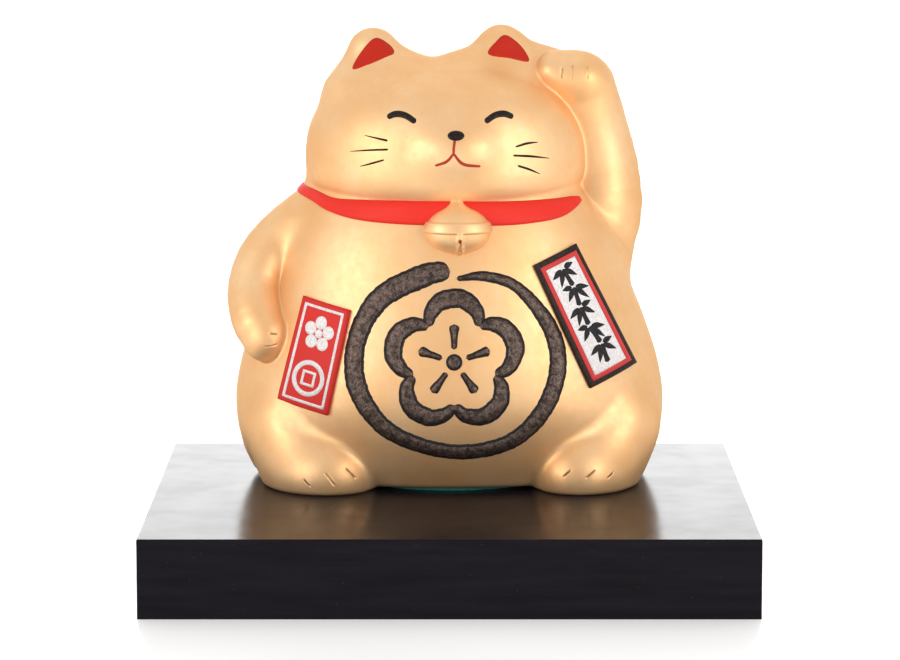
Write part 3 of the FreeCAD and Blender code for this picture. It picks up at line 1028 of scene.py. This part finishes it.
def cast_mesh(name, field, low, high, inside=None):
    """A gold casting from its field, with its valleys refined, its creases sunk and its hollow bare."""
    verts, faces = surface_net(field, low, high, CELL)
    verts = pull_to_surface(field, verts)
    obj = mesh_object(name, to_row(verts), faces, gold)
    refine(obj, field, valley_distance, VALLEY_REACH, VALLEY_CUTS)
    refine(obj, field, crease_distance, CREASE_REACH, CREASE_CUTS)
    sink_creases(obj, field)
    obj.data.shade_smooth()
    if inside is not None:
        obj.data.materials.append(inside)
        places = np.array([v.co for v in obj.data.vertices])
        within = openings_field(from_row(places)) < INSIDE_SKIN
        for face in obj.data.polygons:
            face.material_index = int(within[list(face.vertices)].all())
        group = obj.vertex_groups.new(name="inside")
        group.add([int(i) for i in np.flatnonzero(within)], 1.0, "REPLACE")
        thin = obj.modifiers.new("thin_inside", "DECIMATE")
        thin.vertex_group = group.name
        thin.ratio = INSIDE_KEPT
    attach(obj, "cat")
    return obj


cat = cast_mesh("cat_casting", cat_field, (-84, -64, -3), (76, 60, 162), bare_ceramic())
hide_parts("cat_shell")
arm = cast_mesh("raised_arm_casting", arm_field, (18, -30, 55), (74, 35, 160))
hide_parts("raised_arm")


# ---------------------------------------------------------------- collar and bell

BELL_CENTRE, BELL_RADII = (2.8, -39.0, 89.0), (11.2, 8.6, 8.5)
BELL_LOOP = (2.4, -38.4, 95.0), (2.4, -37.6, 98.6), 3.9, 2.3  # both ends, and the radius at each
BELT_LOW, BELT_HIGH, BELT_PROUD = 89.2, 92.5, 0.55
# Slit of the bell: depth from the bell's middle and height, from its foot to just above the round hole.
SLIT_X, SLIT_RUNOUT = 3.6, 2.0
SLIT = ((-3.9, 81.8), (-5.9, 83.1), (-7.2, 84.6), (-8.1, 86.6), (-8.4, 88.4))
LIP_RADIUS, SLIT_RADIUS, SLIT_OUT, HOLE_SIZE = 0.85, 0.38, 0.55, 0.62
# Collar: degrees round the neck from the front, middle height, half width.
COLLAR = (
    (-238, 101.3, 1.4),
    (-225, 101.3, 2.3),
    (-180, 101.2, 2.4),
    (-120, 100.9, 2.0),
    (-90, 100.4, 1.2),
    (-68, 98.4, 1.7),
    (-53, 96.5, 2.2),
    (-37, 95.6, 3.3),
    (-19, 95.3, 3.9),
    (0, 95.2, 4.0),
    (29, 95.0, 3.8),
    (48, 95.9, 2.9),
    (60, 97.4, 1.5),
    (66, 98.0, 0.5),
)


NECK_BREADTH = 1.32  # how much broader than deep the neck is
NECK_REACHES = np.linspace(62, 10, 60)


def neck_point(angle, height):
    """The form's surface at an angle round the neck and a height, met from outside."""
    direction = vec(NECK_BREADTH * np.sin(angle), -np.cos(angle), np.zeros_like(angle))
    base = vec(np.zeros_like(angle), np.zeros_like(angle), height)

    def value_at(reach):
        return cast_form(base + direction * np.reshape(reach, (-1, 1)))

    return direction, first_crossing(value_at, NECK_REACHES, 12)[1]


COLLAR_PROUD, COLLAR_SINK, COLLAR_STEP = 0.9, 1.0, 1.5  # mm out, mm in, and degrees between stations
COLLAR_TAPER = 6  # degrees over which each end runs out


def collar(across=13):
    """The band: it bridges the crease of the neck and stands a little proud, with soft edges."""
    angle, middle, half = (np.array(c, dtype=float) for c in zip(*COLLAR))
    at = np.arange(angle[0], angle[-1] + 0.01, COLLAR_STEP)
    z, w = smooth_curve(angle, middle, at), smooth_curve(angle, half, at)
    t = np.linspace(-1, 1, across)
    height = z[:, None] + w[:, None] * t[None, :]
    turn = np.repeat(np.radians(at)[:, None], across, axis=1)
    direction, reach = neck_point(turn.ravel(), height.ravel())
    reach = reach.reshape(height.shape)
    level = reach[:, :1] * (1 - t) / 2 + reach[:, -1:] * (1 + t) / 2
    crown = COLLAR_PROUD * (1 - np.abs(t) ** 4)
    end = np.minimum(at - at[0], at[-1] - at)
    fade = np.sqrt(np.clip(end / COLLAR_TAPER, 0, 1)) * (0.65 + 0.35 * np.cos(np.radians(at)))
    bridged = np.clip(0.25 + np.cos(np.radians(at)), 0, 1)[:, None]
    outer = reach + bridged * np.maximum(0, level - reach) + crown[None, :] * fade[:, None] + 0.05
    shape = (*height.shape, 3)
    base = vec(np.zeros(height.size), np.zeros(height.size), height.ravel())
    top = (base + direction * outer.reshape(-1, 1)).reshape(shape)
    low = (base + direction * (reach - COLLAR_SINK).reshape(-1, 1)).reshape(shape)
    return ribbon(top, low)


def bell_field(p):
    """A round bell half sunk in the chest, with belt, hanging loop and a lipped slit under a hole."""
    body = ellipsoid(p, BELL_CENTRE, BELL_RADII)
    belt = np.maximum(body - BELT_PROUD, np.maximum(p[:, 2] - BELT_HIGH, BELT_LOW - p[:, 2]))
    f = smooth_min(body, belt, 0.5)
    f = smooth_min(f, capsule(p, *BELL_LOOP), 2.5)
    path = [(SLIT_X, BELL_CENTRE[1] + depth, height) for depth, height in SLIT]
    for start, end in zip(path, path[1:]):
        f = smooth_min(f, capsule(p, start, end, LIP_RADIUS), 1.0)
    cuts = [np.array([x, y - SLIT_OUT, z]) for x, y, z in path[:-1]]
    for start, end in zip(cuts, cuts[1:]):
        f = smooth_max(f, -capsule(p, start, end, SLIT_RADIUS), 0.2)
    return smooth_max(f, -capsule(p, cuts[-1], cuts[-1] + np.array([0, SLIT_RUNOUT, 0]), HOLE_SIZE), 0.2)


add_piece("collar", collar(), collar_red, "cat", ["collar_band"])
bell_low, bell_high = (np.array(BELL_CENTRE) + room for room in ((-14, -11, -11), (14, 11, 14)))
bell_verts, bell_faces = surface_net(bell_field, bell_low, bell_high, SMALL_CELL)
bell_shape = (pull_to_surface(bell_field, bell_verts, 2, SMALL_CELL), bell_faces)
add_piece("bell", bell_shape, gold, "cat", ["collar_bell"])


# ---------------------------------------------------------------- painted face and ears

skin = front_of(body_field)
# Outlines are points of (x, z), and brush lines are points of (x, z, half width).
EAR_LEFT = (
    (-33.2, 141.9),
    (-30.2, 147.6),
    (-25.6, 152.2),
    (-21.2, 150.5),
    (-18.7, 147.4),
    (-21.6, 145.9),
    (-28.2, 143.2),
)
EAR_RIGHT = (
    (13.2, 146.9),
    (16.2, 151.3),
    (19.2, 153.2),
    (23.4, 150.6),
    (26.6, 146.6),
    (26.9, 144.1),
    (20.6, 145.4),
)
EYE_LEFT = ((-21.0, 127.2, 0.85), (-18.1, 128.4, 1.05), (-14.8, 128.0, 1.05), (-11.2, 125.9, 0.95))
EYE_RIGHT = ((11.9, 125.9, 0.95), (15.3, 128.0, 1.05), (18.5, 128.4, 1.05), (21.6, 127.2, 0.85))
NOSE_CENTRE, NOSE_HALVES = (2.2, 121.8), (2.85, 1.65)
WHISKERS_LEFT = (
    ((-28.8, 121.1, 0.12), (-24.5, 120.3, 0.3), (-20.7, 119.6, 0.42)),
    ((-33.7, 115.4, 0.1), (-27.0, 116.2, 0.32), (-20.5, 116.7, 0.36)),
    ((-30.4, 110.5, 0.12), (-26.2, 111.8, 0.34), (-21.9, 113.2, 0.3)),
)
WHISKERS_RIGHT = (
    ((22.1, 117.4, 0.3), (26.2, 118.4, 0.42), (30.1, 118.6, 0.12)),
    ((21.4, 114.6, 0.36), (27.6, 114.0, 0.4), (34.0, 112.9, 0.1)),
    ((22.9, 111.1, 0.36), (26.8, 109.7, 0.38), (30.7, 107.8, 0.12)),
)
MOUTH = (
    ((1.8, 120.4, 0.5), (1.45, 117.6, 0.45), (1.4, 115.2, 0.42)),
    ((1.4, 115.9, 0.4), (4.6, 112.4, 0.55), (10.5, 111.4, 0.42)),
    ((1.4, 115.9, 0.4), (-1.0, 113.2, 0.5), (-4.9, 111.7, 0.4)),
)


PAINT_HEIGHT, NOSE_HEIGHT, LINE_HEIGHT, FACE_SINK = 0.2, 0.35, 0.14, 0.3


def brushwork(lines):
    """Fine lines of paint."""
    return joined([stroke(line, LINE_HEIGHT, skin, 0.4, 5, sink=FACE_SINK) for line in lines])


for name, outline in (("ear_lining_left", EAR_LEFT), ("ear_lining_right", EAR_RIGHT)):
    add_piece(name, patch(outline, PAINT_HEIGHT, skin), ear_red, "cat")
for name, line in (("eye_left", EYE_LEFT), ("eye_right", EYE_RIGHT)):
    add_piece(name, stroke(line, PAINT_HEIGHT, skin, 0.35, 7, sink=FACE_SINK), eye_black, "cat")
add_piece("nose", patch(oval(NOSE_CENTRE, *NOSE_HALVES), NOSE_HEIGHT, skin, 5, 0.4), eye_black, "cat")
add_piece("mouth", brushwork(MOUTH), mouth_red, "cat")
add_piece("whiskers_left", brushwork(WHISKERS_LEFT), eye_black, "cat")
add_piece("whiskers_right", brushwork(WHISKERS_RIGHT), eye_black, "cat")


# ---------------------------------------------------------------- brush ring and blossom on the belly

# One brush stroke, from its heavy start at the top, round to the left and back to a thin tail.
RING = (
    (0.2, 76.5, 2.6),
    (-8.2, 75.0, 3.5),
    (-23.1, 67.2, 3.4),
    (-31.0, 53.5, 3.0),
    (-31.2, 38.0, 3.2),
    (-22.5, 24.4, 2.8),
    (-8.5, 17.4, 2.5),
    (6.5, 15.4, 2.5),
    (21.5, 19.4, 2.6),
    (32.0, 30.0, 2.8),
    (36.6, 44.0, 2.7),
    (33.8, 57.2, 2.4),
    (23.1, 70.5, 1.6),
    (12.0, 74.6, 1.4),
    (2.4, 73.9, 0.5),
)
BLOSSOM_CENTRE, PETAL_CENTRE, PETAL_RADIUS = np.array([1.6, 46.5]), 12.6, 8.6
PETALS = [math.radians(90 + 72 * k) for k in range(5)]  # the way that each of five petals points
# Stations of a petal as degrees round it and half width, and of a stamen as reach and half width.
PETAL = ((-96, 1.3), (-60, 2.3), (-15, 2.9), (30, 2.8), (66, 2.2), (96, 1.1))
STAMEN = ((4.2, 0.7), (8.0, 0.9), (12.6, 1.7))
BLACK_MARGIN, BLACK_HEIGHT, SANDED_HEIGHT, THINNEST = 0.3, 0.4, 0.8, 0.2
belly_front = front_of(belly_field)


def blossom_strokes():
    """A five-petal plum blossom in heavy brush strokes, with short stamens."""
    lines = []
    for axis in PETALS:
        outward = np.array([math.cos(axis), math.sin(axis)])
        across = np.array([-math.sin(axis), math.cos(axis)])
        petal = []
        for angle, half in PETAL:
            a = math.radians(angle)
            at = outward * (PETAL_CENTRE + PETAL_RADIUS * math.cos(a)) + across * PETAL_RADIUS * math.sin(a)
            petal.append((*(BLOSSOM_CENTRE + at), half))
        lines.append(petal)
        lines.append([(*(BLOSSOM_CENTRE + outward * reach), half) for reach, half in STAMEN])
    return lines


def coats(lines, seed):
    """Brush strokes in two coats: a black one that shows as an outline, and a raised sanded one on it."""
    black, sanded = [], []
    for k, line in enumerate(lines):
        wide = [(x, z, half + BLACK_MARGIN) for x, z, half in line]
        narrow = [(x, z, max(half - BLACK_MARGIN, THINNEST)) for x, z, half in line]
        black.append(stroke(wide, BLACK_HEIGHT, belly_front, 0.6, 9, rough=0.03, seed=seed + k))
        sanded.append(stroke(narrow, SANDED_HEIGHT, belly_front, 0.6, 9, rough=0.05, seed=seed + k))
    return black, sanded


ring_black, ring_sanded = coats([RING], 11)
add_piece("belly_ring_outline", joined(ring_black), motif_black, "cat")
add_piece("belly_ring", joined(ring_sanded), enamel, "cat")
blossom_black, blossom_sanded = coats(blossom_strokes(), 20)
for parts, radius, height in ((blossom_black, 2.8, BLACK_HEIGHT), (blossom_sanded, 2.2, SANDED_HEIGHT)):
    parts.append(patch(oval(BLOSSOM_CENTRE, radius, radius), height, belly_front, 5, 0.6))
add_piece("blossom_outline", joined(blossom_black), motif_black, "cat")
add_piece("blossom", joined(blossom_sanded), enamel, "cat")


# ---------------------------------------------------------------- the two plaques

LEFT_CORNERS = ((-48.9, 66.0), (-33.1, 62.7), (-40.8, 27.2), (-58.0, 31.0))
LEFT_WIDTH, LEFT_LENGTH = 20.0, 37.5
RIGHT_CORNERS = ((28.1, 77.6), (42.4, 83.6), (63.3, 42.2), (47.3, 35.9))
RIGHT_WIDTH, RIGHT_LENGTH = 20.5, 48.0
PLAQUE_THICK, PAINT_THICK, FIELD_THICK, PLAQUE_SINK = 1.4, 0.16, 0.128, 0.2


def coin_motif(surface, centre, radius, line):
    """A round coin with a square hole: a ring and a small frame inside it."""
    circles = [oval(centre, r, r, 48) for r in (radius, radius - line)]
    hole = radius * 0.42
    squares = [rectangle_loop(half, half, 6, 6, centre) for half in (hole, hole - line * 0.55)]
    return [band(*loops, PAINT_THICK, surface) for loops in (circles, squares)]


def flower_motif(surface, centre, radius):
    """A small solid blossom of five round petals."""
    reach, petal, eye = radius * 0.6, radius * 0.36, radius * 0.24
    x, y = centre
    dots = [((x + reach * math.cos(a), y + reach * math.sin(a)), petal, PAINT_THICK) for a in PETALS]
    dots.append((centre, eye, PAINT_THICK * 1.5))
    return [patch(oval(at, half, half), thick, surface, 4, 0.5, PLAQUE_SINK) for at, half, thick in dots]


# Leaves of the bamboo that fan out at each joint: side, degrees below level and length.
LEAVES = ((-1, 58, 6.6), (-1, 22, 5.6), (1, 44, 5.6), (1, -4, 4.4))
LEAF_STATIONS = ((0.0, 0.35), (0.42, 1.05), (1.0, 0.1))  # share of the length, half width
LEAF_FOOT, STEM_GAP, STEM_HALF, STEM_WAIST = 0.7, 0.25, 1.2, 0.9


def bamboo_motif(surface, half_length, joints=6):
    """A jointed stem of bamboo in heavy brush strokes, with pointed leaves at its joints."""
    parts = []
    heights = np.linspace(-half_length, half_length, joints)
    bends = 0.8 * np.sin(np.arange(joints) * 1.9)
    nodes = list(zip(bends, heights))
    for (u0, v0), (u1, v1) in zip(nodes, nodes[1:]):
        waist = ((u0 + u1) / 2, (v0 + v1) / 2, STEM_WAIST)
        stem = [(u0, v0 + STEM_GAP, STEM_HALF), waist, (u1, v1 - STEM_GAP, STEM_HALF)]
        parts.append(stroke(stem, PAINT_THICK, surface, 0.5, 7, sink=PLAQUE_SINK, blunt=0.5))
    for joint, (u, v) in enumerate(nodes[1:]):
        mirror = -1 if joint % 2 else 1
        for side, droop, reach in LEAVES:
            a = math.radians(droop)
            out = np.array([mirror * side * math.cos(a), -math.sin(a)])
            foot = np.array([u, v])
            leaf = [(*(foot + out * (LEAF_FOOT + reach * share)), half) for share, half in LEAF_STATIONS]
            parts.append(stroke(leaf, PAINT_THICK, surface, 0.5, 7, sink=PLAQUE_SINK, blunt=0.5))
    return parts


def add_plaque(name, corners, width, length, slab_material):
    """A slab with rounded edges; returns the painted face's surface."""
    base = panel_of(corners, width, length, 0.0)
    slab = sheet(width / 2, length / 2, PLAQUE_THICK, base, 0.9, 0.6, 0.35)
    add_piece(name, slab, slab_material, "cat", [name])
    return panel_of(corners, width, length, PLAQUE_THICK)


left_face = add_plaque("left_plaque", LEFT_CORNERS, LEFT_WIDTH, LEFT_LENGTH, plaque_red)
left_border = frame_line(8.2, 16.9, 0.95, PAINT_THICK, left_face)
add_piece("left_plaque_border", left_border, plaque_white, "cat")
left_motifs = flower_motif(left_face, (0, 7.8), 6.4) + coin_motif(left_face, (0, -8.0), 6.3, 1.6)
add_piece("left_plaque_motifs", joined(left_motifs), plaque_white, "cat")

right_face = add_plaque("right_plaque", RIGHT_CORNERS, RIGHT_WIDTH, RIGHT_LENGTH, plaque_black)
right_border = frame_line(8.5, 22.0, 1.6, PAINT_THICK, right_face)
add_piece("right_plaque_border", right_border, plaque_pink, "cat")
right_field = sheet(6.85, 20.4, FIELD_THICK, right_face, 0.9, PLAQUE_SINK)
add_piece("right_plaque_field", right_field, plaque_white, "cat")
right_print = panel_of(RIGHT_CORNERS, RIGHT_WIDTH, RIGHT_LENGTH, PLAQUE_THICK + FIELD_THICK)
add_piece("right_plaque_bamboo", joined(bamboo_motif(right_print, 18.6)), motif_black, "cat")


# ---------------------------------------------------------------- felt, stopper and plinth

FELT_OUTER, FELT_INNER, FELT_THICK = 37.5, 21.0, 1.3
FELT_FUZZ, FELT_NAP = 0.12, 0.03  # how much the felt's edge and its upper face wander
# The stopper, as radii and heights of its flange, plug, grooves and hollow cup.
FLANGE_RADIUS, PLUG_RADIUS, GROOVE_RADIUS, CUP_RADIUS = 18.0, 14.9, 14.5, 12.5
FLANGE_FOOT, FLANGE_TOP, CUP_TOP, PLUG_TOP = 1.8, 3.4, 10.0, 12.4
GROOVES, GROOVE_HALF = (5.6, 7.8, 10.0), 0.5
# Its pull bar: half length, half width, half height, height of its middle and sag at its ends.
BAR_LENGTH, BAR_WIDTH, BAR_HEIGHT, BAR_MIDDLE, BAR_SAG = 13.2, 1.5, 2.0, 4.2, 0.1
BAR_STATIONS, BAR_SIDES, BAR_SQUARENESS = 25, 20, 0.6


def felt_ring():
    """A cut felt ring with a slightly fuzzy edge."""
    rng = np.random.default_rng(5)
    corners = [(FELT_INNER, 0.0), (FELT_OUTER, 0.0), (FELT_OUTER, FELT_THICK), (FELT_INNER, FELT_THICK)]
    profile = rounded(corners, 0.35, 3)
    upper_face = [(FELT_INNER + (FELT_OUTER - FELT_INNER) * k / 8, FELT_THICK) for k in range(7, 0, -1)]
    three_corners = len(profile) // 4 * 3
    verts, faces = lathe(profile[:three_corners] + upper_face + profile[three_corners:], 180)
    radius = np.hypot(verts[:, 0], verts[:, 1])[:, None]
    verts[:, :2] *= 1 + rng.normal(size=radius.shape) * FELT_FUZZ / radius
    verts[:, 2] += np.where(verts[:, 2] > 0.6, rng.normal(size=len(verts)) * FELT_NAP, 0)
    return verts, faces


def rubber_stopper():
    """A moulded bung: flange, grooved plug, hollow cup and a pull bar across it."""
    corners = [(CUP_RADIUS, FLANGE_FOOT), (FLANGE_RADIUS, FLANGE_FOOT)]
    corners += [(FLANGE_RADIUS, FLANGE_TOP), (PLUG_RADIUS, FLANGE_TOP)]
    for groove in GROOVES:
        corners.append((PLUG_RADIUS, groove - GROOVE_HALF))
        corners.append((GROOVE_RADIUS, groove))
        corners.append((PLUG_RADIUS, groove + GROOVE_HALF))
    corners += [(PLUG_RADIUS, PLUG_TOP), (0.0, PLUG_TOP), (0.0, CUP_TOP), (CUP_RADIUS, CUP_TOP)]
    cup = lathe(rounded(corners, 0.5, 4), 96)
    bar_verts, bar_faces = [], []
    for i in range(BAR_STATIONS):
        x = BAR_LENGTH * (2 * i / (BAR_STATIONS - 1) - 1)
        middle = BAR_MIDDLE - BAR_SAG * (x / BAR_LENGTH) ** 2
        for k in range(BAR_SIDES):
            a = 2 * math.pi * k / BAR_SIDES
            y = BAR_WIDTH * math.copysign(abs(math.cos(a)) ** BAR_SQUARENESS, math.cos(a))
            z = BAR_HEIGHT * math.copysign(abs(math.sin(a)) ** BAR_SQUARENESS, math.sin(a))
            bar_verts.append((x, y, middle + z))
    for i in range(BAR_STATIONS - 1):
        here, ahead = i * BAR_SIDES, (i + 1) * BAR_SIDES
        for k in range(BAR_SIDES):
            j = (k + 1) % BAR_SIDES
            bar_faces.append((here + k, here + j, ahead + j, ahead + k))
    bar_faces.append(tuple(range(BAR_SIDES))[::-1])
    bar_faces.append(tuple((BAR_STATIONS - 1) * BAR_SIDES + k for k in range(BAR_SIDES)))
    return joined([cup, (np.array(bar_verts), bar_faces)])


add_piece("felt_pad", felt_ring(), felt_cloth(), "cat", ["base_felt"])
add_piece("stopper", rubber_stopper(), soft_rubber(), "stopper", ["rubber_stopper"])
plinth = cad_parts["plinth"]
lacquer = black_lacquer()
for slot_index in range(len(plinth.material_slots)):
    plinth.material_slots[slot_index].material = lacquer


# ---------------------------------------------------------------- floor, light and camera

FLOOR_RADIUS = 14.0  # metres
# How bright the sky is all round, and what it gains behind, overhead and aside of the object.
SKY_LEVEL, SKY_BEHIND, SKY_OVERHEAD, SKY_ASIDE = 0.80, 0.45, 0.12, -0.25
GLOW_START, GLOW = 0.84, 3.2  # straight behind the object, past this share of +Y, it glows
LENS, SENSOR = 156.16, 36
CAMERA_PLACE, CAMERA_DIP = (0.0002, -1.3132, 0.2694), 8.18  # metres, and degrees below level

floor_mesh = bmesh.new()
bmesh.ops.create_circle(floor_mesh, cap_ends=True, segments=96, radius=FLOOR_RADIUS)
floor_data = bpy.data.meshes.new("studio_floor")
floor_mesh.to_mesh(floor_data)
floor_mesh.free()
floor = bpy.data.objects.new("studio_floor", floor_data)
floor_data.materials.append(pale_floor())
bpy.context.scene.collection.objects.link(floor)
floor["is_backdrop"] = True


def softbox(name, place, target, power, size, colour=(1.0, 0.97, 0.92)):
    """A rectangular light of that size in metres and power in watts, turned to its target."""
    data = bpy.data.lights.new(name, "AREA")
    data.shape = "RECTANGLE"
    data.size, data.size_y = size
    data.energy = power
    data.color = colour
    lamp = bpy.data.objects.new(name, data)
    lamp.location = place
    lamp.rotation_euler = (Vector(target) - Vector(place)).to_track_quat("-Z", "Y").to_euler()
    bpy.context.scene.collection.objects.link(lamp)


softbox("key_right", (0.95, -0.85, 0.42), (0, 0, 0.1), 7.0, (0.5, 0.8))
softbox("key_left", (-1.15, -0.88, 0.44), (0, 0, 0.1), 9.0, (0.8, 0.8))

sky = bpy.data.worlds.new("white_studio")
sky.use_nodes = True
bpy.context.scene.world = sky
sky_nodes, sky_links = sky.node_tree.nodes, sky.node_tree.links
direction = sky_nodes.new("ShaderNodeTexCoord")
split = sky_nodes.new("ShaderNodeSeparateXYZ")
sky_links.new(direction.outputs["Generated"], split.inputs["Vector"])


def add_share(output, share, base):
    """base + share * output, where base is a number or another output."""
    node = sky_nodes.new("ShaderNodeMath")
    node.operation = "MULTIPLY_ADD"
    sky_links.new(output, node.inputs[0])
    node.inputs[1].default_value = share
    if isinstance(base, float):
        node.inputs[2].default_value = base
    else:
        sky_links.new(base, node.inputs[2])
    return node.outputs[0]


# brighter overhead and behind the object, brightest straight behind it, dimmer at the sides and in front
aside = sky_nodes.new("ShaderNodeMath")
aside.operation = "ABSOLUTE"
sky_links.new(split.outputs["X"], aside.inputs[0])
strength = add_share(split.outputs["Y"], SKY_BEHIND, SKY_LEVEL)
strength = add_share(split.outputs["Z"], SKY_OVERHEAD, strength)
strength = add_share(aside.outputs[0], SKY_ASIDE, strength)
behind = sky_nodes.new("ShaderNodeMapRange")
sky_links.new(split.outputs["Y"], behind.inputs["Value"])
behind.inputs["From Min"].default_value = GLOW_START
strength = add_share(behind.outputs["Result"], GLOW, strength)
sky_nodes["Background"].inputs["Color"].default_value = (1, 1, 1, 1)
sky_links.new(strength, sky_nodes["Background"].inputs["Strength"])

scene = bpy.context.scene
lens = bpy.data.cameras.new("camera")
lens.lens = LENS
lens.sensor_width = SENSOR
camera = bpy.data.objects.new("camera", lens)
camera.location = CAMERA_PLACE
camera.rotation_euler = (math.radians(90 - CAMERA_DIP), 0, 0)
scene.collection.objects.link(camera)
scene.camera = camera
scene.view_settings.view_transform = "Standard"

[[float(c) for c in corner] for corner in (cad_low, cad_high, *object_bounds())]
